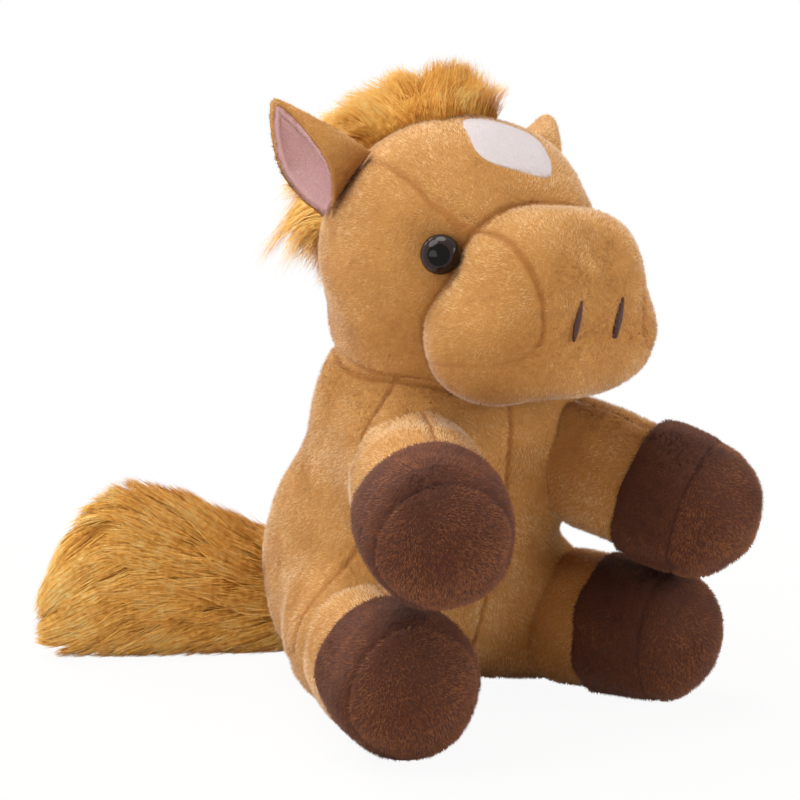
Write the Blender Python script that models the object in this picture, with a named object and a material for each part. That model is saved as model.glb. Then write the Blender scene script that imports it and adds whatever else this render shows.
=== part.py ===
"""Sitting plush horse: sewn cloth shells, stuffing, safety eyes, mane and tail.

Metres, +Z up. The horse faces -Y and its own left is +X. The origin is the middle of its seat.
"""
import math

import bmesh
import bpy
from mathutils import Matrix, Vector

# Cloth and clearances
CLOTH = 0.0018
GAP = 0.0003
STUFFING_GAP = 0.0005
REST_CUT = 0.0005
OVERRUN = 0.060

# Torso: a broad seat and a chest that leans forward
SEAT_HALF_WIDTH = 0.0355
SEAT_HALF_DEPTH = 0.0350
SEAT_HEIGHT = 0.0330
CHEST_HALF_WIDTH = 0.0320
CHEST_HALF_DEPTH = 0.0310
CHEST_HALF_HEIGHT = 0.0400
CHEST_POWER = 2.4
CHEST_HEIGHT = 0.0650
CHEST_LEAN = 0.0150
TORSO_BLEND = 0.014
SEAT_POWER = 2.5

# Neck joint and the head's two lobes
NECK_LEAN = 0.0200
NECK_RISE = 0.0390
NECK_HEIGHT = CHEST_HEIGHT + NECK_RISE
NECK_RADIUS = 0.0315
NECK_HOLE_ANGLE = math.radians(57)
PLUG_BALL_RADIUS = 0.0200
PLUG_RADIUS = 0.0074
PLUG_DEPTH = 0.0350
SKULL_HALF_WIDTH = 0.0368
SKULL_RADIUS = 0.0350
SKULL_FORWARD = 0.0256
SKULL_RISE = 0.0147
SKULL_HEIGHT = NECK_HEIGHT + SKULL_RISE
HEAD_BLEND = 0.003

# Muzzle: a round nose with a cheek on each side
NOSE_HALF_WIDTH = 0.0246
NOSE_HALF_LENGTH = 0.0197
NOSE_HALF_HEIGHT = 0.0240
NOSE_POWER = 2.5
NOSE_FORWARD = 0.0607
NOSE_DROP = 0.0097
NOSE_HEIGHT = SKULL_HEIGHT - NOSE_DROP
CHEEK_HALF_WIDTH = 0.0165
CHEEK_HALF_LENGTH = 0.0185
CHEEK_HALF_HEIGHT = 0.0165
CHEEK_SIDE = 0.0150
CHEEK_FORWARD = 0.0575
CHEEK_DROP = 0.0082
CHEEK_HEIGHT = NOSE_HEIGHT - CHEEK_DROP
MUZZLE_BLEND = 0.004

# Seams, as half widths from the middle of the horse
GUSSET_HALF_WIDTH = 0.0255
GUSSET_FRONT_HALF_WIDTH = 0.0160
GUSSET_BROW = 0.0380
GUSSET_FRONT = 0.0560
GUSSET_SLOPE_SHARE = 0.55
NOSE_PANEL_HALF_WIDTH = 0.0158
BELLY_SEAM_SHIFT = 0.0020
BELLY_SEAM_BACK = 0.0110
STAR_HALF_WIDTH = 0.0111
STAR_HALF_HEIGHT = 0.0116
STAR_TILT = math.radians(35)
STAR_SHARES = ((0.45, 1.0), (0.90, 0.68), (1.0, 0.0), (0.86, -0.62), (0.42, -1.0))

# Cheek seam, seen from the side: places from the middle of the muzzle, over its top and back below
CHEEK_SEAM_TOP = ((0.0190, 0.0240), (0.0001, 0.0233), (-0.0049, 0.0226), (-0.0109, 0.0202))
CHEEK_SEAM_BROW = ((-0.0154, 0.0165), (-0.0194, 0.0115))
CHEEK_SEAM_FRONT = ((-0.0309, 0.0070), (-0.0309, -0.0020), (-0.0194, -0.0053))
CHEEK_SEAM_FOOT = ((-0.0149, -0.0076), (-0.0079, -0.0092), (0.0190, -0.0100))

# Pellet bag low in the seat
BAG_HALF_WIDTH = 0.0145
BAG_HALF_HEIGHT = 0.0085
BAG_BACK = 0.0080

# Eyes
EYE_RADIUS = 0.0049
EYE_DOME = 0.0040
EYE_RIM_SHARE = 0.12
SHANK_RADIUS = 0.0016
SHANK_LENGTH = 0.0080
WASHER_RADIUS = 0.0055
WASHER_THICKNESS = 0.0010
WASHER_SET_BACK = 0.0018
EYE_TURN = math.radians(46)
EYE_LIFT = math.radians(4)

# Nostrils, stitched in thread
NOSTRIL_SIDE = 0.0066
NOSTRIL_SHIFT = 0.0010
NOSTRIL_DROP = 0.0026
NOSTRIL_HEIGHT = NOSE_HEIGHT - NOSTRIL_DROP
NOSTRIL_LEAN_SHARE = 0.2
NOSTRIL_TIP_SHARE = 0.15
NOSTRIL_LENGTH = 0.0095
NOSTRIL_WIDTH = 0.0022
NOSTRIL_THREAD = 0.0005

# Ears
EAR_LENGTH = 0.0272
EAR_HALF_WIDTH = 0.0108
EAR_CLOTH = 0.0014
EAR_TIP_HALF_WIDTH = 0.0002
EAR_WEDGE = math.radians(11)
EAR_WRAP = math.radians(82)
EAR_FOOT_WIDTH_SHARE = 0.92
EAR_SWELL_SHARE = 0.22
EAR_PINCH_SHARE = 0.36
EAR_OPEN_SHARE = 0.50
EAR_TOP_SHARES = Vector((0.672, 0.154, 0.725))
EAR_END_SHARES = Vector((0.891, 0.365, 0.269))
RIGHT_EAR_WAY_SHARES = Vector((0.785, 0.434, 0.484))
LEFT_EAR_WAY_SHARES = Vector((0.799, 0.542, 0.260))
EAR_FRONT_SHARES = Vector((0, -0.992, 0.125))

# Mane, a strip of long pile from forehead to nape
MANE_FRONT_HALF_WIDTH = 0.0085
MANE_CROWN_HALF_WIDTH = 0.0165
MANE_NAPE_HALF_WIDTH = 0.0235
MANE_PILE = 0.0160
MANE_ROOT_SHARE = 0.12
MANE_FRONT = math.radians(7)
MANE_BACK = math.radians(108)
MANE_WIDTHS = ((0, MANE_FRONT_HALF_WIDTH), (0.30, MANE_CROWN_HALF_WIDTH), (0.50, MANE_CROWN_HALF_WIDTH),
               (0.75, MANE_NAPE_HALF_WIDTH), (1, MANE_FRONT_HALF_WIDTH))
MANE_HEIGHT_SHARES = ((0, 0.35), (0.10, 0.80), (0.25, 0.90), (0.50, 0.98), (0.75, 0.60), (1, 0.10))

# Legs: each has its pivot on the torso and the middle of its hoof
FORE_ROOT_RADIUS = 0.0150
HIND_ROOT_RADIUS = 0.0190
HOOF_RADIUS = 0.0186
HOOF_OVERHANG = 0.0014
THIGH_SWELL = 0.0001
FORE_RADIUS = HOOF_RADIUS - HOOF_OVERHANG
HIND_RADIUS = HOOF_RADIUS + THIGH_SWELL
ANKLE_NARROWING = 0.0008
CUFF_LENGTH = 0.0160
CUFF_BACK = 0.0140
LEG_GAP = 0.0008
FORE_ROOT_RISE = 0.0024
FORE_PIVOT = Vector((0.0210, -0.0310, CHEST_HEIGHT + FORE_ROOT_RISE))
FORE_HOOF_LEFT = Vector((0.0412, -0.0690, 0.0545))
FORE_HOOF_RIGHT = Vector((-0.0410, -0.0690, 0.0580))
HIND_PIVOT = Vector((0.0280, -0.0180, 0.0195))
HIND_HOOF = Vector((0.0410, -0.0563, HOOF_RADIUS - REST_CUT))
LEG_SWING = math.radians(9)
SOCKET_REACH_SHARE = 0.75
SLEEVE_SHARES = ((0.30, 1), (0.62, 0), (1.0, 1))
HOOF_SHOULDER_SHARE = 0.45

# Tail, a fan of long pile that lies on the floor
TAIL_PIVOT = Vector((-0.0040, 0.0375, 0.0180))
TAIL_HEADING = math.radians(149)
TAIL_LENGTH = 0.0760
TAIL_HEIGHT = 0.0500
TAIL_THICKNESS = 0.0190
TAIL_STATION_SHARES = (-0.06, 0.06, 0.14, 0.24, 0.36, 0.50, 0.64, 0.78, 0.88, 0.95, 1.0)
TAIL_SWING_IN = math.radians(5)
TAIL_SWING_OUT = math.radians(20)
TAIL_TOP_SHARES = ((0, 0.62), (0.22, 0.74), (0.48, 0.94), (0.70, 1.0), (0.85, 0.82), (0.95, 0.56), (1, 0.34))
TAIL_FOOT_SHARES = ((0, 0.0), (0.80, 0.0), (0.90, 0.05), (0.95, 0.10), (1, 0.17))
TAIL_FAT_SHARES = ((0, 0.37), (0.12, 0.50), (0.30, 0.85), (0.55, 1.0), (0.80, 0.80), (0.95, 0.45), (1, 0.18))

TAN = (0.52, 0.28, 0.09, 1)
BROWN = (0.11, 0.045, 0.028, 1)
WHITE = (0.78, 0.71, 0.71, 1)
PINK = (0.60, 0.30, 0.30, 1)
GOLD = (0.55, 0.26, 0.06, 1)
EYE_BLACK = (0.012, 0.008, 0.007, 1)
WASHER_GREY = (0.6, 0.6, 0.58, 1)
THREAD = (0.06, 0.02, 0.02, 1)
FIBRE = (0.85, 0.84, 0.80, 1)
SACK = (0.70, 0.66, 0.58, 1)

NECK_PIVOT = Vector((0, -NECK_LEAN, NECK_HEIGHT))
SKULL = Vector((0, -SKULL_FORWARD, SKULL_HEIGHT))
MUZZLE = Vector((0, -(NOSE_FORWARD + CHEEK_FORWARD) / 2, (NOSE_HEIGHT + CHEEK_HEIGHT) / 2))
TORSO = Vector((0, -CHEST_LEAN / 2, (SEAT_HEIGHT + CHEST_HEIGHT) / 2))


for old in list(bpy.data.objects):
    bpy.data.objects.remove(old)


# Forms: each is a closed surface round a centre, swelling out to one or more rounded lobes

def lobe(centre, radii, power=2.0):
    """Signed depth below a rounded box; power 2 is an ellipsoid and more is squarer."""
    least = min(radii)

    def depth(point):
        total = sum((abs(p - c) / r) ** power for p, c, r in zip(point, centre, radii))
        return (total ** (1 / power) - 1) * least
    return depth


def joined(lobes, blend):
    """The lobes as one form, with a soft fillet of the given width where they meet."""
    def depth(point):
        value = lobes[0](point)
        for other in lobes[1:]:
            second = other(point)
            near = max(blend - abs(value - second), 0) / blend
            value = min(value, second) - near * near * blend / 4
        return value
    return depth


def reach_of(field, centre, direction):
    """Distance from the centre to the surface along a direction, by halving."""
    low, high = 0.0, OVERRUN
    for _ in range(26):
        middle = (low + high) / 2
        if field(centre + direction * middle) < 0:
            low = middle
        else:
            high = middle
    return (low + high) / 2


def form(field, centre, offset=0.0, strips=9):
    """A ball of even strips pushed out to the field's surface, then moved out by the offset."""
    shape = bmesh.new()
    bmesh.ops.create_cube(shape, size=2)
    bmesh.ops.subdivide_edges(shape, edges=shape.edges, cuts=strips - 1, use_grid_fill=True)
    for vertex in shape.verts:
        direction = Vector([math.tan(share * math.pi / 4) for share in vertex.co]).normalized()
        vertex.co = centre + direction * (reach_of(field, centre, direction) + offset)
    return finished(shape)


def finished(shape):
    bmesh.ops.triangulate(shape, faces=shape.faces)
    bmesh.ops.recalc_face_normals(shape, faces=shape.faces)
    mesh = bpy.data.meshes.new("form")
    shape.to_mesh(mesh)
    shape.free()
    return mesh


def turned(profile, origin, direction, side, segments=16, half=False, closed=False):
    """A profile of (along, radius) turned about an axis, either all round or through half a turn
    centred on the side direction. A closed profile is a wall; an open one ends on the axis."""
    axis = direction.normalized()
    first = (side - axis * side.dot(axis)).normalized()
    second = axis.cross(first)
    columns = segments // 2 + 1 if half else segments
    shape = bmesh.new()
    rings = []
    for along, radius in profile:
        centre = origin + axis * along
        if radius == 0:
            rings.append([shape.verts.new(centre)] * columns)
            continue
        ring = []
        for index in range(columns):
            angle = 2 * math.pi * index / segments - (math.pi / 2 if half else 0)
            place = first * math.cos(angle) + second * math.sin(angle)
            ring.append(shape.verts.new(centre + place * radius))
        rings.append(ring)
    pairs = list(zip(rings, rings[1:]))
    if closed:
        pairs.append((rings[-1], rings[0]))
    for low, high in pairs:
        for index in range(columns - 1 if half else columns):
            following = (index + 1) % columns
            corners = [low[index], low[following], high[following], high[index]]
            corners = list(dict.fromkeys(corners))
            if len(corners) > 2:
                shape.faces.new(corners)
    if half:
        shape.faces.new([ring[0] for ring in rings])
        shape.faces.new([ring[-1] for ring in reversed(rings)])
    return finished(shape)


def prism(outline, low, high, axis="Z"):
    """A flat outline drawn out along an axis between two levels."""
    shape = bmesh.new()
    ends = []
    for level in (low, high):
        places = [(a, b, level) if axis == "Z" else (level, a, b) for a, b in outline]
        ends.append([shape.verts.new(place) for place in places])
    for index in range(len(outline)):
        following = (index + 1) % len(outline)
        shape.faces.new([ends[0][index], ends[0][following], ends[1][following], ends[1][index]])
    shape.faces.new(ends[0])
    shape.faces.new(ends[1])
    return finished(shape)


def slab(surface, rows, columns, inner, outer):
    """A curved sheet: surface(u, v, level) over a grid, closed between two levels."""
    shape = bmesh.new()
    layers = []
    for level in (inner, outer):
        grid = []
        for row in range(rows + 1):
            places = [surface(row / rows, 2 * column / columns - 1, level) for column in range(columns + 1)]
            grid.append([shape.verts.new(place) for place in places])
        layers.append(grid)
    for grid in layers:
        for row in range(rows):
            for column in range(columns):
                shape.faces.new([grid[row][column], grid[row + 1][column],
                                 grid[row + 1][column + 1], grid[row][column + 1]])
    rim = [(0, c) for c in range(columns)] + [(r, columns) for r in range(rows)]
    rim += [(rows, c) for c in range(columns, 0, -1)] + [(r, 0) for r in range(rows, 0, -1)]
    for (r1, c1), (r2, c2) in zip(rim, rim[1:] + rim[:1]):
        shape.faces.new([layers[0][r1][c1], layers[0][r2][c2], layers[1][r2][c2], layers[1][r1][c1]])
    return finished(shape)


# Booleans, applied in order so that panels share one shell

def placed(mesh, name="guide"):
    thing = bpy.data.objects.new(name, mesh)
    bpy.context.collection.objects.link(thing)
    return thing


def trimmed(mesh, *steps):
    """The mesh after each (operation, cutter mesh) step."""
    thing = placed(mesh.copy(), "work")
    cutters = []
    for operation, cutter in steps:
        tool = placed(cutter)
        cutters.append(tool)
        step = thing.modifiers.new("cut", "BOOLEAN")
        step.operation = operation
        step.solver = "EXACT"
        step.object = tool
    graph = bpy.context.evaluated_depsgraph_get()
    result = bpy.data.meshes.new_from_object(thing.evaluated_get(graph))
    for used in [thing] + cutters:
        bpy.data.objects.remove(used)
    return result


def cut(mesh, *cutters):
    return trimmed(mesh, *[("DIFFERENCE", cutter) for cutter in cutters])


def kept(mesh, *cutters):
    return trimmed(mesh, *[("INTERSECT", cutter) for cutter in cutters])


materials = {}


def finish(name, colour, roughness, metallic=0.0):
    if name not in materials:
        material = bpy.data.materials.new(name)
        material.use_nodes = True
        shader = material.node_tree.nodes["Principled BSDF"]
        shader.inputs["Base Color"].default_value = colour
        shader.inputs["Roughness"].default_value = roughness
        shader.inputs["Metallic"].default_value = metallic
        materials[name] = material
    return materials[name]


def node(name, mesh, colour, roughness=0.9, pivot=None):
    """One piece of the toy, with its own material, hung on its joint's empty if it moves."""
    thing = placed(mesh, name)
    mesh.name = name
    mesh.materials.clear()
    mesh.materials.append(finish(name + "_finish", colour, roughness))
    mesh.shade_smooth()
    mesh.set_sharp_from_angle(angle=math.radians(35))
    if pivot:
        thing.parent = pivot
        thing.matrix_parent_inverse = Matrix.Translation(-pivot.location)
    return thing


def joint(name, place):
    empty = bpy.data.objects.new(name + "_pivot", None)
    empty.location = place
    empty.empty_display_size = HOOF_RADIUS
    bpy.context.collection.objects.link(empty)
    return empty


def mirrored(vector, side):
    return Vector((vector.x * side, vector.y, vector.z))


SIDES = (("left", 1), ("right", -1))
FLOOR = prism([(-OVERRUN * 3, -OVERRUN * 3), (OVERRUN * 3, -OVERRUN * 3),
               (OVERRUN * 3, OVERRUN * 3), (-OVERRUN * 3, OVERRUN * 3)], -OVERRUN, 0)


def half_space(side, shift=0.0):
    """Everything on one side of the middle plane, which may lean: shifted at the floor, upright above."""
    near = GAP / 2 * side
    far = OVERRUN * 2 * side
    top = OVERRUN * 4
    outline = [(near + shift * 2, -OVERRUN), (far, -OVERRUN), (far, top), (near - shift * 3, top)]
    shape = prism(outline, -OVERRUN * 3, OVERRUN * 3)
    shape.transform(Matrix.Rotation(math.radians(90), 4, "X"))
    return shape


# Legs: lathe profiles shared by the sleeve, cuff, sole and stuffing

def leg_profile(cuff_at, fat, root_radius, inset):
    """(along, radius) of the tan part, from its rounded root to the cuff seam."""
    root = root_radius - inset
    profile = [(-root * math.cos(a), root * math.sin(a)) for a in map(math.radians, (40, 58, 75, 90))]
    for share, narrow in SLEEVE_SHARES:
        profile.append((cuff_at * share, fat - ANKLE_NARROWING * narrow - inset))
    return profile


def hoof_profile(hoof_at, start, end, inset):
    """(along, radius) of the hoof between two places along the leg."""
    profile = []
    steps = 3
    for step in range(steps + 1):
        along = start + (end - start) * step / steps
        swell = math.sqrt(max(1 - ((along - hoof_at) / HOOF_RADIUS) ** 2, 0))
        round_share = HOOF_SHOULDER_SHARE if along < hoof_at else 1
        radius = HOOF_RADIUS * (1 - round_share * (1 - swell))
        profile.append((along, radius - inset))
    return profile


def sole_profile(hoof_at, start, inset):
    """(along, radius) of the domed end of the hoof, from the sole seam to its middle."""
    radius = HOOF_RADIUS - inset
    first = math.acos(max(-1, min(1, (start - hoof_at) / radius)))
    steps = 4
    angles = [first * (1 - step / steps) for step in range(steps)]
    return [(hoof_at + radius * math.cos(a), radius * math.sin(a)) for a in angles] + [(hoof_at + radius, 0)]


def socket(leg, extra):
    """The hollow that a leg's root turns in, flared for its swing."""
    radius = leg["root"] + extra
    profile = [(-radius, 0)]
    profile += [(-radius * math.cos(a), radius * math.sin(a)) for a in map(math.radians, (22, 45, 68, 90))]
    reach = (leg["hoof"] - leg["pivot"]).length * SOCKET_REACH_SHARE
    for along in (reach * SLEEVE_SHARES[0][0], reach):
        profile.append((along, leg["fat"] + extra + along * math.tan(LEG_SWING)))
    profile.append((reach, 0))
    return turned(profile, leg["pivot"], leg["hoof"] - leg["pivot"], Vector((1, 0, 0)))


LEGS = []
for side_name, side in SIDES:
    fore_hoof = FORE_HOOF_LEFT if side > 0 else FORE_HOOF_RIGHT
    LEGS.append({"name": "foreleg_" + side_name, "side": side, "fat": FORE_RADIUS, "root": FORE_ROOT_RADIUS,
                 "pivot": mirrored(FORE_PIVOT, side), "hoof": fore_hoof})
    LEGS.append({"name": "hindleg_" + side_name, "side": side, "fat": HIND_RADIUS, "root": HIND_ROOT_RADIUS,
                 "pivot": mirrored(HIND_PIVOT, side), "hoof": mirrored(HIND_HOOF, side)})

# Torso skin: two side panels that meet down the back, two belly panels that meet in front

seat_radii = (SEAT_HALF_WIDTH, SEAT_HALF_DEPTH, SEAT_HEIGHT)
chest_radii = (CHEST_HALF_WIDTH, CHEST_HALF_DEPTH, CHEST_HALF_HEIGHT)
torso_field = joined([lobe((0, 0, SEAT_HEIGHT - REST_CUT), seat_radii, SEAT_POWER),
                      lobe((0, -CHEST_LEAN, CHEST_HEIGHT), chest_radii, CHEST_POWER)], TORSO_BLEND)
head_ball = lobe(NECK_PIVOT, (NECK_RADIUS, NECK_RADIUS, NECK_RADIUS))
torso_shell = cut(
    form(torso_field, TORSO),
    form(torso_field, TORSO, -CLOTH, 5),
    form(head_ball, NECK_PIVOT, GAP, 8),
    FLOOR,
    *[socket(leg, LEG_GAP) for leg in LEGS])


def belly_cutter(clear):
    """The front part of the torso, parted from its sides along a line through the leg roots."""
    outline = [
        (-OVERRUN * 2, OVERRUN * 2), (FORE_PIVOT.y, OVERRUN * 2),
        (FORE_PIVOT.y + clear, FORE_PIVOT.z), (HIND_PIVOT.y + clear, HIND_PIVOT.z),
        (BELLY_SEAM_BACK + clear, 0), (BELLY_SEAM_BACK + clear, -OVERRUN), (-OVERRUN * 2, -OVERRUN)]
    return prism(outline, -OVERRUN * 2, OVERRUN * 2, "X")


sides_skin = cut(torso_shell, belly_cutter(GAP / 2))
belly_skin = kept(torso_shell, belly_cutter(-GAP / 2))
for side_name, side in SIDES:
    node("torso_side_" + side_name, kept(sides_skin, half_space(side)), TAN)
    node("belly_" + side_name, kept(belly_skin, half_space(side, -BELLY_SEAM_SHIFT)), TAN)

# Pellet bag low in the seat, and the fibre filling round it

bag_place = Vector((0, BAG_BACK, CLOTH + STUFFING_GAP * 4 + BAG_HALF_HEIGHT))
bag_field = lobe(bag_place, (BAG_HALF_WIDTH, BAG_HALF_WIDTH, BAG_HALF_HEIGHT))
node("pellet_bag", form(bag_field, bag_place, 0.0, 4), SACK)


def round_pocket(place, radius, low, high, segments=16):
    return turned([(low, 0), (low, radius), (high, radius), (high, 0)], place, Vector((0, 0, 1)),
                  Vector((1, 0, 0)), segments)


plug_end = NECK_HEIGHT - PLUG_DEPTH
bag_pocket = round_pocket(Vector((0, BAG_BACK, 0)), BAG_HALF_WIDTH + STUFFING_GAP, -OVERRUN,
                          bag_place.z + BAG_HALF_HEIGHT + STUFFING_GAP)
node("torso_stuffing", cut(
    form(torso_field, TORSO, -CLOTH - STUFFING_GAP * 2, 5),
    form(head_ball, NECK_PIVOT, GAP + STUFFING_GAP, 5),
    bag_pocket,
    round_pocket(NECK_PIVOT, PLUG_RADIUS + STUFFING_GAP, -PLUG_DEPTH - STUFFING_GAP, 0),
    *[socket(leg, LEG_GAP + STUFFING_GAP) for leg in LEGS]), FIBRE)

# Neck filling: a ball in the head on a stem that goes down into the torso

neck_turn = joint("neck_turn", NECK_PIVOT)
stem_start = math.asin(PLUG_RADIUS / PLUG_BALL_RADIUS)
plug_profile = [(-PLUG_DEPTH, 0), (-PLUG_DEPTH, PLUG_RADIUS)]
for step in range(6):
    angle = stem_start + (math.pi - stem_start) * step / 6
    plug_profile.append((-PLUG_BALL_RADIUS * math.cos(angle), PLUG_BALL_RADIUS * math.sin(angle)))
plug_profile.append((PLUG_BALL_RADIUS, 0))
plug = turned(plug_profile, NECK_PIVOT, Vector((0, 0, 1)), Vector((1, 0, 0)))
node("neck_stuffing", plug, FIBRE, 0.9, neck_turn)

# Head skin: a side panel each side and a gusset over the top, open at the neck and at the muzzle

head_pivot = joint("neck_nod", NECK_PIVOT)
head_field = joined([lobe(SKULL, (SKULL_HALF_WIDTH, SKULL_RADIUS, SKULL_RADIUS)), head_ball], HEAD_BLEND)
muzzle_lobes = [lobe((0, -NOSE_FORWARD, NOSE_HEIGHT), (NOSE_HALF_WIDTH, NOSE_HALF_LENGTH, NOSE_HALF_HEIGHT),
                     NOSE_POWER)]
for _, side in SIDES:
    muzzle_lobes.append(lobe((CHEEK_SIDE * side, -CHEEK_FORWARD, CHEEK_HEIGHT),
                             (CHEEK_HALF_WIDTH, CHEEK_HALF_LENGTH, CHEEK_HALF_HEIGHT)))
muzzle_field = joined(muzzle_lobes, MUZZLE_BLEND)

neck_opening = turned([(0, 0), (-OVERRUN * math.cos(NECK_HOLE_ANGLE), OVERRUN * math.sin(NECK_HOLE_ANGLE)),
                       (-OVERRUN * math.cos(NECK_HOLE_ANGLE), 0)],
                      NECK_PIVOT, Vector((0, 0, 1)), Vector((1, 0, 0)), 24)
muzzle_inside = form(muzzle_field, MUZZLE, -CLOTH, 5)
head_outside = form(head_field, SKULL)
head_inside = form(head_field, SKULL, -CLOTH, 5)
head_shell = cut(head_outside, head_inside, neck_opening, muzzle_inside)


def eye_frame(side):
    """Where an eye sits on the head: its place on the skin and the way it faces."""
    flat = Vector((math.sin(EYE_TURN) * side, -math.cos(EYE_TURN), 0))
    outward = (flat * math.cos(EYE_LIFT) + Vector((0, 0, math.sin(EYE_LIFT)))).normalized()
    return SKULL + outward * reach_of(head_field, SKULL, outward), outward


def shank_hole(side, radius, depth):
    place, outward = eye_frame(side)
    return turned([(-depth, 0), (-depth, radius), (OVERRUN, radius), (OVERRUN, 0)], place, outward,
                  Vector((0, 0, 1)), 12)


head_shell = cut(head_shell, *[shank_hole(side, SHANK_RADIUS + GAP, SHANK_LENGTH * 2) for _, side in SIDES])


def gusset_cutter(clear):
    """The band over the top of the head, narrower over the brow; its floor drops to the nape."""
    wide, narrow = GUSSET_HALF_WIDTH + clear, GUSSET_FRONT_HALF_WIDTH + clear
    outline = [(wide, OVERRUN), (wide, -GUSSET_BROW), (narrow, -GUSSET_FRONT), (narrow, -OVERRUN * 2)]
    outline += [(-x, y) for x, y in reversed(outline)]
    shape = prism(outline, -clear, OVERRUN * 2)
    for vertex in shape.vertices:
        if vertex.co.z < OVERRUN:
            vertex.co.z -= (vertex.co.y + NECK_LEAN) * GUSSET_SLOPE_SHARE
        vertex.co.z += NECK_HEIGHT
    return shape


def star_cutter(clear):
    """A rounded octagon on the brow, drawn straight through the skin."""
    wide, tall = STAR_HALF_WIDTH + clear, STAR_HALF_HEIGHT + clear
    right = [(wide * a, tall * b) for a, b in STAR_SHARES]
    outline = right + [(-a, b) for a, b in reversed(right)]
    shape = prism(outline, SKULL_RADIUS / 2, SKULL_RADIUS * 2)
    shape.transform(Matrix.Translation(SKULL) @ Matrix.Rotation(STAR_TILT, 4, "X"))
    return shape


gusset_skin = kept(head_shell, gusset_cutter(-GAP / 2))
sides_of_head = cut(head_shell, gusset_cutter(GAP / 2))
node("head_gusset", cut(gusset_skin, star_cutter(GAP / 2)), TAN, 0.9, head_pivot)
node("star_patch", kept(gusset_skin, star_cutter(-GAP / 2)), WHITE, 0.9, head_pivot)
for side_name, side in SIDES:
    node("head_side_" + side_name, kept(sides_of_head, half_space(side)), TAN, 0.9, head_pivot)

# Muzzle skin: a nose panel over the top, front and chin, with a round cheek let in each side

muzzle_shell = cut(
    form(muzzle_field, MUZZLE, 0.0, 7), muzzle_inside, form(head_field, SKULL, GAP),
    *[shank_hole(side, EYE_RADIUS + GAP, SHANK_LENGTH) for _, side in SIDES])


def cheek_cutter(side, clear):
    """The part of the muzzle inside the cheek seam, drawn sideways from the nose panel's edge."""
    outline = [(y, z + clear) for y, z in CHEEK_SEAM_TOP + CHEEK_SEAM_BROW]
    outline += list(CHEEK_SEAM_FRONT) + [(y, z - clear) for y, z in CHEEK_SEAM_FOOT]
    outline = [(MUZZLE.y + y, MUZZLE.z + z) for y, z in outline]
    near = (NOSE_PANEL_HALF_WIDTH - clear) * side
    return prism(outline, near, OVERRUN * side, "X")


nose_skin = cut(muzzle_shell, *[cheek_cutter(side, GAP / 2) for _, side in SIDES])
node("nose_panel", nose_skin, TAN, 0.9, head_pivot)
for side_name, side in SIDES:
    node("cheek_" + side_name, kept(muzzle_shell, cheek_cutter(side, -GAP / 2)), TAN, 0.9, head_pivot)

plug_ball = lobe(NECK_PIVOT, (PLUG_BALL_RADIUS, PLUG_BALL_RADIUS, PLUG_BALL_RADIUS))
node("head_stuffing", cut(
    form(head_field, SKULL, -CLOTH - STUFFING_GAP * 2, 5),
    form(plug_ball, NECK_PIVOT, STUFFING_GAP, 7),
    neck_opening,
    *[shank_hole(side, WASHER_RADIUS + STUFFING_GAP, SHANK_LENGTH + STUFFING_GAP) for _, side in SIDES]),
    FIBRE, 0.9, head_pivot)
muzzle_filling = cut(
    form(muzzle_field, MUZZLE, -CLOTH - STUFFING_GAP * 2, 5), head_inside,
    *[shank_hole(side, WASHER_RADIUS + STUFFING_GAP, SHANK_LENGTH + STUFFING_GAP) for _, side in SIDES])
node("muzzle_stuffing", muzzle_filling, FIBRE, 0.9, head_pivot)

# Safety eyes: a domed head and shank of one moulding, locked inside by a washer

for side_name, side in SIDES:
    place, outward = eye_frame(side)
    seat = GAP
    rim = EYE_DOME * EYE_RIM_SHARE
    dome = [(-SHANK_LENGTH, 0), (-SHANK_LENGTH, SHANK_RADIUS), (seat, SHANK_RADIUS), (seat, EYE_RADIUS)]
    for step in range(5):
        angle = math.pi / 2 * step / 5
        dome.append((seat + rim + (EYE_DOME - rim) * math.sin(angle), EYE_RADIUS * math.cos(angle)))
    dome.append((seat + EYE_DOME, 0))
    node("eye_" + side_name, turned(dome, place, outward, Vector((0, 0, 1))), EYE_BLACK, 0.1, head_pivot)
    back = CLOTH + WASHER_SET_BACK
    ring = [(-back, SHANK_RADIUS + GAP), (-back, WASHER_RADIUS), (-back - WASHER_THICKNESS, WASHER_RADIUS),
            (-back - WASHER_THICKNESS, SHANK_RADIUS + GAP)]
    node("eye_washer_" + side_name, turned(ring, place, outward, Vector((0, 0, 1)), closed=True),
         WASHER_GREY, 0.4, head_pivot)

# Nostrils: a close bar of thread stitches on the nose panel, wide in the middle

for side_name, side in SIDES:
    def nostril(u, v, level, side=side):
        along = (u - 1 / 2) * NOSTRIL_LENGTH
        swell = NOSTRIL_TIP_SHARE + (1 - NOSTRIL_TIP_SHARE) * math.sin(math.pi * u)
        middle = NOSTRIL_SIDE * side - NOSTRIL_SHIFT + along * NOSTRIL_LEAN_SHARE
        aim = Vector((middle + v * NOSTRIL_WIDTH / 2 * swell, 0, NOSTRIL_HEIGHT + along))
        toward = Vector((aim.x, -NOSE_FORWARD - NOSE_HALF_LENGTH, aim.z)) - MUZZLE
        toward.normalize()
        return MUZZLE + toward * (reach_of(muzzle_field, MUZZLE, toward) + level)
    node("nostril_" + side_name, slab(nostril, 6, 2, GAP, GAP + NOSTRIL_THREAD), THREAD, 0.6, head_pivot)

# Ears: a tan back and a pink lining, folded where they are sewn along the side seam of the head. The left one
# lies lower than the right one.


def on_head(point, lift):
    toward = (point - SKULL).normalized()
    return SKULL + toward * (reach_of(head_field, SKULL, toward) + lift)


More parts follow.
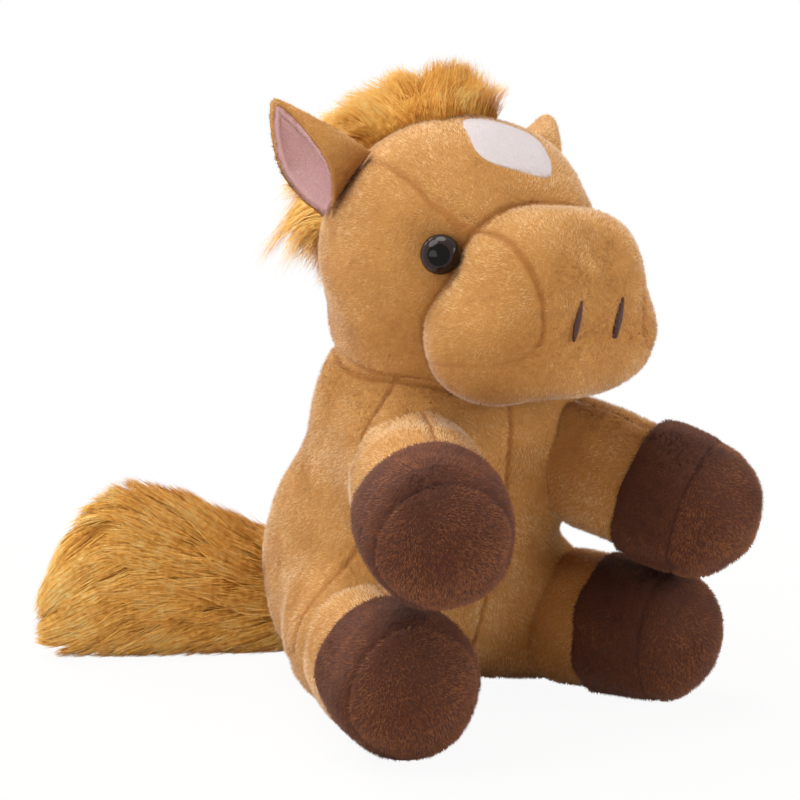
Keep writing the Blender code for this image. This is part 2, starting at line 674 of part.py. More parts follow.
for side_name, side in SIDES:
    top = on_head(SKULL + mirrored(EAR_TOP_SHARES, side), GAP * 2)
    seam = on_head(SKULL + mirrored(EAR_END_SHARES, side), GAP * 2) - top
    ear_axis = mirrored(LEFT_EAR_WAY_SHARES if side > 0 else RIGHT_EAR_WAY_SHARES, side).normalized()
    front = mirrored(EAR_FRONT_SHARES, side).normalized()
    ear_joint = joint("ear_" + side_name, top)

    def ear(u, v, level, top=top, seam=seam, ear_axis=ear_axis, front=front):
        leaf = math.sqrt(1 - u * u) * (EAR_FOOT_WIDTH_SHARE + EAR_SWELL_SHARE * math.sin(math.pi * u))
        spread = math.sin(math.pi / 2 * min(u / EAR_OPEN_SHARE, 1))
        wide = EAR_HALF_WIDTH * leaf * (EAR_PINCH_SHARE + (1 - EAR_PINCH_SHARE) * spread)
        across = math.sin(v * EAR_WRAP) * max(wide - level, EAR_TIP_HALF_WIDTH)
        fold = (1 - math.cos(v * EAR_WRAP)) / (1 - math.cos(EAR_WRAP)) * (1 - u) * (1 - level / EAR_HALF_WIDTH)
        point = top + ear_axis * (u * (EAR_LENGTH - level)) + front * across
        point += seam * fold + seam.normalized() * level
        if u == 0:
            point = on_head(point, GAP * 2 + abs(across) * math.tan(EAR_WEDGE))
        return point
    node("ear_back_" + side_name, slab(ear, 6, 6, 0.0, EAR_CLOTH), TAN, 0.9, ear_joint)
    lining = slab(ear, 6, 6, EAR_CLOTH + GAP, EAR_CLOTH * 2 + GAP)
    node("ear_lining_" + side_name, lining, PINK, 0.9, ear_joint)

# Mane: long pile over the middle of the gusset, tallest at the forelock


def between(shares, at):
    for (a, va), (b, vb) in zip(shares, shares[1:]):
        if at <= b:
            return va + (vb - va) * (at - a) / (b - a)
    return shares[-1][1]


def mane(u, v, level):
    angle = MANE_BACK * u - MANE_FRONT * (1 - u)
    width = between(MANE_WIDTHS, u) / SKULL_RADIUS
    toward = Vector((math.sin(v * width), math.sin(angle) * math.cos(v * width),
                     math.cos(angle) * math.cos(v * width))).normalized()
    height = GAP
    if level:
        height += MANE_PILE * (MANE_ROOT_SHARE + between(MANE_HEIGHT_SHARES, u) * math.sqrt(1 - v ** 4))
    return SKULL + toward * (reach_of(head_field, SKULL, toward) + height)


node("mane", slab(mane, 14, 6, 0, 1), GOLD, 0.95, head_pivot)

# Legs: an outer and an inner sleeve, a cuff and a sole round a firm filling

for leg in LEGS:
    name, side, fat, pivot_place = leg["name"], leg["side"], leg["fat"], leg["pivot"]
    swing = joint(name, pivot_place)
    along = leg["hoof"] - pivot_place
    hoof_at = along.length
    cuff_at = hoof_at - CUFF_BACK
    sole_at = cuff_at + CUFF_LENGTH
    lateral = Vector((side, 0, 0))
    lateral = (lateral - along * (lateral.dot(along) / along.length_squared)).normalized()
    wall = leg_profile(cuff_at - GAP / 2, fat, leg["root"], 0)
    wall += list(reversed(leg_profile(cuff_at - GAP / 2, fat, leg["root"], CLOTH)))
    for half_name, toward in (("outer", 1), ("inner", -1)):
        away = lateral * toward
        sleeve = turned(wall, pivot_place + away * (GAP / 2), along, away, half=True, closed=True)
        node(name + "_" + half_name, sleeve, TAN, 0.9, swing)
    cuff = hoof_profile(hoof_at, cuff_at + GAP / 2, sole_at - GAP / 2, 0)
    cuff += list(reversed(hoof_profile(hoof_at, cuff_at + GAP / 2, sole_at - GAP / 2, CLOTH)))
    sole = sole_profile(hoof_at, sole_at + GAP / 2, 0)
    sole += list(reversed(sole_profile(hoof_at, sole_at + GAP / 2, CLOTH)))
    cuff_mesh = turned(cuff, pivot_place, along, lateral, closed=True)
    sole_mesh = turned(sole, pivot_place, along, lateral, closed=True)
    if name.startswith("hind"):
        cuff_mesh = cut(cuff_mesh, FLOOR)
        sole_mesh = cut(sole_mesh, FLOOR)
    node(name + "_cuff", cuff_mesh, BROWN, 0.9, swing)
    node(name + "_sole", sole_mesh, BROWN, 0.9, swing)
    inset = CLOTH + STUFFING_GAP
    root = leg["root"] - inset
    core = [(-root, 0)]
    core += [(-root * math.cos(a), root * math.sin(a)) for a in map(math.radians, (32, 62, 90))]
    core += leg_profile(cuff_at, fat, leg["root"], inset)[4:-1]
    core += hoof_profile(hoof_at, cuff_at, sole_at, inset)[:-1]
    core += sole_profile(hoof_at, sole_at, inset)[1:]
    node(name + "_stuffing", turned(core, pivot_place, along, lateral, 12), FIBRE, 0.9, swing)

# Tail: two faces of long pile, narrow where it is sewn in and fanned out over the floor

tail_joint = joint("tail", TAIL_PIVOT)
tail_way = Vector((math.cos(TAIL_HEADING), math.sin(TAIL_HEADING), 0))
tail_side = Vector((-tail_way.y, tail_way.x, 0))
shape = bmesh.new()
rings = []
for share in TAIL_STATION_SHARES:
    top = between(TAIL_TOP_SHARES, share) * TAIL_HEIGHT
    bottom = between(TAIL_FOOT_SHARES, share) * TAIL_HEIGHT - REST_CUT
    fat = between(TAIL_FAT_SHARES, share) * TAIL_THICKNESS / 2
    centre = TAIL_PIVOT + tail_way * (share * TAIL_LENGTH)
    middle, half_height = (top + bottom) / 2, (top - bottom) / 2
    ring = []
    for index in range(14):
        angle = 2 * math.pi * index / 14
        place = centre + tail_side * (fat * math.cos(angle))
        place.z = middle + half_height * math.sin(angle)
        ring.append(shape.verts.new(place))
    rings.append(ring)
for low, high in zip(rings, rings[1:]):
    for index in range(14):
        following = (index + 1) % 14
        shape.faces.new([low[index], low[following], high[following], high[index]])
shape.faces.new(rings[0])
shape.faces.new(rings[-1])


def swung_torso(angle):
    """The torso as the tail meets it after a swing, so that the root is cut clear of both limits."""
    guide = form(torso_field, TORSO, GAP * 2)
    about = Matrix.Translation(TAIL_PIVOT)
    guide.transform(about @ Matrix.Rotation(angle, 4, "Z") @ about.inverted())
    return guide


tail_mesh = cut(finished(shape), swung_torso(0), swung_torso(-TAIL_SWING_IN),
                swung_torso(TAIL_SWING_OUT), FLOOR)
node("tail", tail_mesh, GOLD, 0.95, tail_joint)
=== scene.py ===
"""Sitting plush horse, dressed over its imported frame. Metres, +Z up. It faces -Y and its own left is +X."""
import math

import bmesh
import bpy
import numpy as np
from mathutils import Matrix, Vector


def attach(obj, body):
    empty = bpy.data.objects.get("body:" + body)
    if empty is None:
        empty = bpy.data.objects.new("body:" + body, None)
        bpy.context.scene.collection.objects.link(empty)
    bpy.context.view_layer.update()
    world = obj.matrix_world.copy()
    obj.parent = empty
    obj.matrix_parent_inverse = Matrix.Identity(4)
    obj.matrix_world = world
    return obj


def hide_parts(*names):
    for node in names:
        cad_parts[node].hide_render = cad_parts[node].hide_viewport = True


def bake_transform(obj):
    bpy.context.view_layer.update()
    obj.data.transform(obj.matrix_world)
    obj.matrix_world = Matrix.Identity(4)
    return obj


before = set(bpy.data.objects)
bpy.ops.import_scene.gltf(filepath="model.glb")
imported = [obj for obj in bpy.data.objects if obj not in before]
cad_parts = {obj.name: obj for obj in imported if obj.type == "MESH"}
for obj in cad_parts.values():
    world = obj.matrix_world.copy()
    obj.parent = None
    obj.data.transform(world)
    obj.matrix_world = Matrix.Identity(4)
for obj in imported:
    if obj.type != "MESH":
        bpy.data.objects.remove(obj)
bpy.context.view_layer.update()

# Studio: a pale table that runs on to white, with five soft white lamps round it: above, behind, high and low
# on the left and low on the right. The camera stands where the photograph was taken from, with a long lens.

CAMERA_TURN, CAMERA_RISE, CAMERA_DISTANCE = math.radians(-37), math.radians(9), 0.570
AIM = Vector((-0.0257, -0.0340, 0.0835))
PICTURE_WIDTH, PIXELS_PER_METRE = 800, 4000
LAMP_SIZE, LAMP_AIM = 0.80, Vector((0, -0.02, 0.07))
LAMPS = {"top_lamp": ((-0.10, -0.05, 1.30), 8.4), "key_lamp": ((-0.75, 0.10, 1.00), 7.1),
         "back_lamp": ((-0.10, 1.10, 0.80), 9.8), "left_lamp": ((-1.20, -0.30, 0.15), 5.0),
         "right_lamp": ((0.75, -1.00, 0.35), 7.8)}


class Wire:
    """A socket in a shader tree. Arithmetic on it adds Math nodes, and node() adds any other."""

    def __init__(self, tree, socket=None):
        self.tree, self.socket = tree, socket

    def node(self, kind, settings=None, inputs=None, output=0):
        made = self.tree.nodes.new("ShaderNode" + kind)
        for name, value in (settings or {}).items():
            if name == "stops":
                ramp = made.color_ramp.elements
                while len(ramp) < len(value):
                    ramp.new(0.5)
                for stop, (place, colour) in zip(ramp, value):
                    stop.position, stop.color = place, (*colour, 1)
            else:
                setattr(made, name, value)
        for name, value in (inputs or {}).items():
            if isinstance(value, Wire):
                self.tree.links.new(value.socket, made.inputs[name])
            else:
                made.inputs[name].default_value = value
        return Wire(self.tree, made.outputs[output])

    def math(self, operation, first, second=0.0):
        return self.node("Math", {"operation": operation}, {0: first, 1: second})

    def __add__(self, other):
        return self.math("ADD", self, other)

    def __sub__(self, other):
        return self.math("SUBTRACT", self, other)

    def __rsub__(self, other):
        return self.math("SUBTRACT", other, self)

    def __mul__(self, other):
        return self.math("MULTIPLY", self, other)

    __radd__, __rmul__ = __add__, __mul__

    def mixed(self, first, second):
        """The second colour where this is 1, and the first where it is 0."""
        return self.node("Mix", {"data_type": "RGBA"}, {0: self, 6: first, 7: second}, 2)


def finish(name, colour, roughness=0.9, **constants):
    """A material with constant values. What varies is fed to it afterwards."""
    material = bpy.data.materials.new(name)
    material.use_nodes = True
    shader = material.node_tree.nodes["Principled BSDF"]
    shader.inputs["Base Color"].default_value = (*colour, 1)
    shader.inputs["Roughness"].default_value = roughness
    for socket, value in constants.items():
        shader.inputs[socket.replace("_", " ")].default_value = value
    return material


def feed(material, socket, wire):
    shader = material.node_tree.nodes["Principled BSDF"]
    material.node_tree.links.new(wire.socket, shader.inputs[socket])


back = Vector((math.sin(CAMERA_TURN) * math.cos(CAMERA_RISE), -math.cos(CAMERA_TURN) * math.cos(CAMERA_RISE),
               math.sin(CAMERA_RISE)))
lens = bpy.data.cameras.new("camera")
lens.sensor_width = 36
lens.lens = PIXELS_PER_METRE * CAMERA_DISTANCE / PICTURE_WIDTH * lens.sensor_width
lens.clip_start = 0.01
camera = bpy.data.objects.new("camera", lens)
camera.location = AIM + back * CAMERA_DISTANCE
camera.rotation_euler = back.to_track_quat("Z", "Y").to_euler()
bpy.context.collection.objects.link(camera)
bpy.context.scene.camera = camera
bpy.context.scene.view_settings.view_transform = "Standard"


def seen_rays(tree):
    """1 for the rays that show the backdrop as it is: straight, mirrored or through glass."""
    rays, wire = tree.nodes.new("ShaderNodeLightPath"), Wire(tree)
    straight, mirrored, through = (Wire(tree, rays.outputs["Is " + kind + " Ray"])
                                   for kind in ("Camera", "Glossy", "Transmission"))
    return wire.math("MAXIMUM", wire.math("MAXIMUM", straight, mirrored), through)


for lamp_name, (place, power) in LAMPS.items():
    light = bpy.data.lights.new(lamp_name, "AREA")
    light.shape, light.size, light.energy, light.color = "DISK", LAMP_SIZE, power, (1, 1, 1)
    lamp = bpy.data.objects.new(lamp_name, light)
    lamp.location = place
    lamp.rotation_euler = (Vector(place) - LAMP_AIM).to_track_quat("Z", "Y").to_euler()
    bpy.context.collection.objects.link(lamp)

world = bpy.data.worlds.new("studio")
bpy.context.scene.world = world
world.use_nodes = True
sky = Wire(world.node_tree)
plain = sky.node("Background", None, {"Color": (1.0, 0.35, 0.14, 1), "Strength": 0.15})
white = sky.node("Background", None, {"Color": (1, 1, 1, 1), "Strength": 1.0})
backdrop = sky.node("MixShader", None, {0: seen_rays(sky.tree), 1: plain, 2: white})
world.node_tree.links.new(backdrop.socket, world.node_tree.nodes["World Output"].inputs["Surface"])

bpy.ops.mesh.primitive_plane_add(size=6, location=(0, 0, 0))
floor = bpy.context.object
floor.name = "floor"
floor_finish = finish("floor_paper", (0.80, 0.74, 0.68), 0.9)
floor.data.materials.append(floor_finish)
paper = Wire(floor_finish.node_tree)
glow = paper.node("Emission", None, {"Color": (1, 1, 1, 1), "Strength": 1.0})
diffuse = Wire(paper.tree, floor_finish.node_tree.nodes["Principled BSDF"].outputs[0])
ground = paper.node("VectorMath", {"operation": "LENGTH"}, {0: paper.node("TexCoord", None, None, 3)}, 1)
far = paper.node("MapRange", None, {"Value": ground, "From Min": 0.08, "From Max": 0.30})
sheet = paper.node("MixShader", None, {0: seen_rays(paper.tree) * (far * 0.06 + 0.94), 1: diffuse, 2: glow})
output = floor_finish.node_tree.nodes["Material Output"]
floor_finish.node_tree.links.new(sheet.socket, output.inputs["Surface"])

# Torso: a pear of tan plush, four panels sewn edge to edge and filled firm. The seams run down the front,
# down the back and through the leg roots, and pull the cloth in. The filling presses its seat flat.

SEAT_MIDDLE, SEAT_RADII, SEAT_POWER = (0, 0, 0.0325), (0.0355, 0.0350, 0.0330), 2.5
CHEST_MIDDLE, CHEST_RADII, CHEST_POWER = (0, -0.0150, 0.0650), (0.0320, 0.0310, 0.0400), 2.4
TORSO_BLEND, SHOULDER_BLEND = 0.014, 0.011
TORSO_MIDDLE = np.array((0, -0.0075, 0.0490))
CLOTH_SINK = 0.0004
CLOTH_FLOOR, PILE_FLOOR = 0.0002, 0.0012
PILE_LENGTH, PILE_WIDTH, PILE_DENSITY = 0.00095, 0.00022, 5.0e6
SHEEN_TINT = (1.0, 0.92, 0.84, 1)
TAN = (0.49, 0.220, 0.050), (0.68, 0.380, 0.128), (0.83, 0.585, 0.300)


def lobe(centre, radii, power=2.0):
    """Depth below a rounded box, for an array of points. Power 2 is an ellipsoid."""
    centre, radii = np.array(centre), np.array(radii)

    def depth(points):
        total = (np.abs((points - centre) / radii) ** power).sum(axis=1)
        return (total ** (1 / power) - 1) * radii.min()
    return depth


def joined(parts, blend):
    """Several forms as one, with a soft fillet where they meet."""
    def depth(points):
        value = parts[0](points)
        for part in parts[1:]:
            other = part(points)
            near = np.maximum(blend - np.abs(value - other), 0) / blend
            value = np.minimum(value, other) - near * near * blend / 4
        return value
    return depth


def reach(field, starts, ways, low, high):
    """How far along each way the field's surface lies, by halving."""
    low, high = np.full(len(ways), float(low)), np.full(len(ways), float(high))
    for _ in range(24):
        middle = (low + high) / 2
        inside = field(starts + ways * middle[:, None]) < 0
        low, high = np.where(inside, middle, low), np.where(inside, high, middle)
    return (low + high) / 2


def ball(strips):
    """Directions and four-sided faces of an even ball."""
    shape = bmesh.new()
    bmesh.ops.create_cube(shape, size=2)
    bmesh.ops.subdivide_edges(shape, edges=shape.edges, cuts=strips - 1, use_grid_fill=True)
    ways = np.tan(np.array([vertex.co for vertex in shape.verts]) * math.pi / 4)
    faces = [[vertex.index for vertex in face.verts] for face in shape.faces]
    shape.free()
    return ways / np.linalg.norm(ways, axis=1)[:, None], faces


def ripple(points, size, seed):
    """Smooth noise of about the given size, mostly from -1 to 1."""
    chance = np.random.default_rng(seed)
    total = np.zeros(len(points))
    for _ in range(9):
        way = chance.normal(size=3)
        way *= 2 * math.pi / size * chance.uniform(0.6, 1.5) / np.linalg.norm(way)
        total += np.sin(points @ way + chance.uniform(0, 2 * math.pi))
    return total / 3


def solid(name, points, faces, material):
    """A mesh object from points and faces, wound outward."""
    shape = bmesh.new()
    corners = [shape.verts.new(point) for point in points]
    for face in faces:
        shape.faces.new([corners[index] for index in face])
    bmesh.ops.recalc_face_normals(shape, faces=shape.faces)
    if shape.calc_volume(signed=True) < 0:
        bmesh.ops.reverse_faces(shape, faces=shape.faces)
    mesh = bpy.data.meshes.new(name)
    shape.to_mesh(mesh)
    shape.free()
    mesh.shade_smooth()
    mesh.materials.append(material)
    thing = bpy.data.objects.new(name, mesh)
    bpy.context.collection.objects.link(thing)
    return thing


def cloth(name, colour, dark):
    """The backing that the pile grows from: a soft mottle, painted darker than the pile as painted shade
    between the tufts.
    """
    material = finish(name, colour, 0.95)
    wire = Wire(material.node_tree)
    place = wire.node("TexCoord", None, None, 3)
    broad = wire.node("TexNoise", None, {"Vector": place, "Scale": 90, "Detail": 3})
    fine = wire.node("TexNoise", None, {"Vector": place, "Scale": 1400, "Detail": 2})
    seam = wire.node("Attribute", {"attribute_name": "seam"}, None, 2)
    # Painted shade: the backing darkens along the seams and the creases between parts.
    feed(material, "Base Color", (broad * 0.5 + fine * 0.7 - 0.1 - seam).mixed((*dark, 1), (*colour, 1)))
    bump = wire.node("Bump", None, {"Strength": 0.5, "Distance": 0.0004, "Height": fine})
    feed(material, "Normal", bump)
    return material


def fibre(name, tones, sheen=0.25):
    """Pile in a low, a usual and a high tone, picked by each fibre's tone and a drift over the cloth. Besides
    the dye's random tone, the fibre's tone holds painted shade and painted light.
    """
    material = finish(name, tones[1], 0.9, Sheen_Weight=sheen, Sheen_Roughness=0.4, Sheen_Tint=SHEEN_TINT)
    wire = Wire(material.node_tree)
    place = wire.node("TexCoord", None, None, 3)
    tone = wire.node("Attribute", {"attribute_name": "tone"}, None, 2)
    drift = wire.node("TexNoise", None, {"Vector": place, "Scale": 75, "Detail": 2})
    grain = wire.node("TexNoise", None, {"Vector": place, "Scale": 620, "Detail": 2})
    stops = list(zip((0, 0.5, 1), tones))
    tone = tone + drift * 0.6 + grain * 1.2 - 0.9
    feed(material, "Base Color", wire.node("ValToRGB", {"stops": stops}, {0: tone}))
    return material


def blades(name, places, faces, each, shade, tone, material):
    """Loose fibres in one mesh, of as many points each. A fibre has its tone and a square to bake into."""
    mesh = bpy.data.meshes.new(name)
    mesh.from_pydata(places.tolist(), [], faces)
    mesh.materials.append(material)
    mesh.attributes.new("tone", "FLOAT", "POINT").data.foreach_set("value", tone)
    mesh.normals_split_custom_set_from_vertices(shade.tolist())
    corner = np.empty(len(mesh.loops), int)
    mesh.loops.foreach_get("vertex_index", corner)
    fibre_at, spot = np.divmod(corner, each)
    across = math.ceil(math.sqrt(len(places) / each))
    inset = 0.15 + 0.7 * np.stack((spot % 2, spot / each), axis=1)
    squares = (np.stack((fibre_at % across, fibre_at // across), axis=1) + inset) / across
    mesh.uv_layers.new(name="OFBake").data.foreach_set("uv", squares.ravel())
    thing = bpy.data.objects.new(name, mesh)
    bpy.context.collection.objects.link(thing)
    return thing


def pile(name, skin, material, flow, hidden=None, seam=None, shift=lambda points: 0.0, length=PILE_LENGTH,
         lean=46, seed=1):
    """Short fibres rooted all over a skin and combed along the flow. Each is one thin blade."""
    chance = np.random.default_rng(seed)
    mesh = skin.data
    mesh.calc_loop_triangles()
    corners = np.empty(len(mesh.loop_triangles) * 3, int)
    mesh.loop_triangles.foreach_get("vertices", corners)
    points = np.empty(len(mesh.vertices) * 3)
    mesh.vertices.foreach_get("co", points)
    normals = np.empty(len(mesh.vertices) * 3)
    mesh.vertices.foreach_get("normal", normals)
    corners, points, normals = corners.reshape(-1, 3), points.reshape(-1, 3), normals.reshape(-1, 3)
    a, b, c = (points[corners[:, index]] for index in range(3))
    area = np.linalg.norm(np.cross(b - a, c - a), axis=1) / 2
    count = int(area.sum() * PILE_DENSITY)
    chosen = chance.choice(len(area), count, p=area / area.sum())
    u, v = chance.random(count), chance.random(count)
    flip = u + v > 1
    u, v = np.where(flip, 1 - u, u), np.where(flip, 1 - v, v)
    weights = np.stack((1 - u - v, u, v), axis=1)
    root = sum(weights[:, index, None] * points[corners[chosen, index]] for index in range(3))
    up = sum(weights[:, index, None] * normals[corners[chosen, index]] for index in range(3))
    line = seam(root) if seam else np.ones(count)
    kept = (line > 0.00022) | (chance.random(count) < 0.15)
    if hidden:
        kept &= ~hidden(root)
    root, up, line = root[kept], up[kept], line[kept]
    count = len(root)
    up /= np.linalg.norm(up, axis=1)[:, None]
    way = flow(root) + 0 * root
    way = way - up * (way * up).sum(axis=1)[:, None]
    way /= np.maximum(np.linalg.norm(way, axis=1)[:, None], 1e-6)
    turn = ripple(root, 0.018, seed + 7) * 0.40 + ripple(root, 0.005, seed + 8) * 0.15
    turn += chance.normal(size=count) * 0.25
    way = way * np.cos(turn)[:, None] + np.cross(up, way) * np.sin(turn)[:, None]
    side = np.cross(way, up)
    rise = np.radians(lean + chance.normal(size=count) * 8 + ripple(root, 0.006, seed + 9) * 5)
    reach_out = length * chance.uniform(0.7, 1.2, count)
    tip = root + (way * np.cos(rise)[:, None] + up * np.sin(rise)[:, None]) * reach_out[:, None]
    half = side * (PILE_WIDTH / 2 * chance.uniform(0.7, 1.3, count))[:, None]
    root = root - up * (length * 0.1)
    places = np.stack((root - half, root + half, tip), axis=1).reshape(-1, 3)
    places[:, 2] = np.maximum(places[:, 2], 0.0001)
    shade = up + side * (chance.normal(size=count) * 0.12)[:, None]
    shade += way * (chance.normal(size=count) * 0.12)[:, None]
    shade /= np.linalg.norm(shade, axis=1)[:, None]
    tone = 0.5 + shift(root) + ripple(root, 0.016, seed + 3) * 0.13 + ripple(root, 0.004, seed + 4) * 0.08
    tone += chance.normal(size=count) * 0.10
    # Painted shade: fibres darken along the seams and the creases between parts.
    tone -= np.exp(-(line / 0.00060) ** 2) + 0.06 * np.exp(-(line / 0.0020) ** 2)
    # Painted shade at each fibre's root and painted light at its tip.
    tone = np.stack((tone - 0.08, tone - 0.08, tone + 0.08), axis=1).ravel()
    faces = np.arange(count * 3).reshape(-1, 3).tolist()
    return blades(name, places, faces, 3, np.repeat(shade, 3, axis=0), tone, material)


def paint_seam_shade(skin, seam):
    """Keeps how near a skin's points are to a seam or a crease between parts, for the painted shade along it.
    """
    nearness = np.exp(-(seam / 0.0005) ** 2)
    skin.data.attributes.new("seam", "FLOAT", "POINT").data.foreach_set("value", nearness)


def groove(distance, depth, width):
    """How far a seam pulls the cloth in at a distance from it: a sharp line in a soft valley."""
    return depth * np.exp(-(distance / width) ** 2) + depth * 0.6 * np.exp(-(distance / (width * 5)) ** 2)


def to_path(points, path):
    """Distance in a plane from each point to an open path."""
    least = np.full(len(points), 1.0)
    for start, end in zip(path, path[1:]):
        start, step = np.array(start), np.array(end) - np.array(start)
        share = np.clip(((points - start) @ step) / (step @ step), 0, 1)
        least = np.minimum(least, np.linalg.norm(points - start - share[:, None] * step, axis=1))
    return least


def combed(*way):
    return lambda points: np.array(way)


FORE_PIVOT, HIND_PIVOT = np.array((0.0210, -0.0310, 0.0674)), np.array((0.0280, -0.0180, 0.0195))
BELLY_SEAM = ((-0.0310, 0.1400), (-0.0310, 0.0680), (-0.0180, 0.0195), (0.0110, 0.0))
NECK = np.array((0, -0.0200, 0.1040))
NECK_RADIUS = 0.0315
FORE_ROOT, HIND_ROOT = 0.0150, 0.0190

torso_field = joined([lobe(SEAT_MIDDLE, SEAT_RADII, SEAT_POWER),
                      lobe(CHEST_MIDDLE, CHEST_RADII, CHEST_POWER)], TORSO_BLEND)


def limb(start, end, radius):
    """Depth below a round bar with ball ends."""
    start, step = np.array(start), np.array(end) - np.array(start)

    def depth(points):
        share = np.clip(((points - start) @ step) / (step @ step), 0, 1)
        return np.linalg.norm(points - start - share[:, None] * step, axis=1) - radius
    return depth


shoulders = [limb(place * (side, 1, 1), (place + way) * (side, 1, 1), radius) for side in (1, -1)
             for place, way, radius in ((FORE_PIVOT, (0.0018, -0.0034, -0.0010), FORE_ROOT),
                                        (HIND_PIVOT, (0.0014, -0.0040, 0), HIND_ROOT))]
skin_field = joined([torso_field] + shoulders, SHOULDER_BLEND)


def torso_seam(points):
    """Distance to the nearest seam of the torso."""
    middle = np.abs(points[:, 0] + 0.002 - points[:, 2] / 30)
    middle = np.where(points[:, 1] < 0, middle, np.abs(points[:, 0]))
    collar = np.abs(np.linalg.norm(points - NECK, axis=1) - NECK_RADIUS)
    return np.minimum(np.minimum(middle, collar), to_path(points[:, 1:], BELLY_SEAM))


tan_cloth = cloth("tan_cloth", (0.60, 0.325, 0.090), (0.40, 0.175, 0.038))
tan_pile = fibre("tan_pile", TAN, 0.55)

ways, faces = ball(110)
points = TORSO_MIDDLE + ways * (reach(skin_field, TORSO_MIDDLE, ways, 0, 0.07) - CLOTH_SINK)[:, None]
seam = torso_seam(points)
pucker = np.sin(points[:, 2] / 0.0046 * 2 * math.pi + ripple(points, 0.02, 5)) * np.exp(-(seam / 0.004) ** 2)
dent = ripple(points, 0.030, 2) * 0.0005 + pucker * 0.00018 - groove(seam, 0.0007, 0.0006)
points = points + ways * dent[:, None]
points[:, 2] = np.maximum(points[:, 2], CLOTH_FLOOR)
torso = solid("torso_skin", points, faces, tan_cloth)
paint_seam_shade(torso, seam)
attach(torso, "torso")
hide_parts("torso_side_left", "torso_side_right", "belly_left", "belly_right")


# Legs: each is a sleeve of two tan halves, sewn to the torso, with a brown hoof. The round sole is let in
# with a seam. The filling is firm.

FORE_RADIUS, HIND_RADIUS = 0.0172, 0.0187
HOOF_RADIUS = 0.0186
CUFF_BACK, CUFF_LENGTH, CUFF_OVERLAP = 0.0140, 0.0160, 0.0010
ROOT_BEND = (-0.002, 0.012)
PILE_TUCK = 0.0028
BROWN = (0.070, 0.016, 0.0045), (0.165, 0.047, 0.013), (0.270, 0.098, 0.032)
HOOVES = {"foreleg_left": (0.0412, -0.0690, 0.0545), "foreleg_right": (-0.0410, -0.0690, 0.0580),
          "hindleg_left": (0.0410, -0.0563, 0.0181), "hindleg_right": (-0.0410, -0.0563, 0.0181)}
SOLE_OUT = {"foreleg_left": 0.0, "foreleg_right": 0.0065, "hindleg_left": 0.0030, "hindleg_right": 0.0055}
legs = []

brown_cloth = cloth("brown_cloth", (0.095, 0.028, 0.010), (0.042, 0.010, 0.004))
brown_pile = fibre("brown_pile", BROWN, 0.05)


def rings(places):
    """Faces of a tube of rings, each an array of points, closed at both ends."""
    around = len(places[0])
    faces = []
    for row in range(len(places) - 1):
        for column in range(around):
            following = (column + 1) % around
            faces.append([row * around + column, row * around + following,
                          (row + 1) * around + following, (row + 1) * around + column])
    faces.append(list(range(around)))
    faces.append([(len(places) - 1) * around + column for column in range(around)])
    return np.concatenate(places), faces


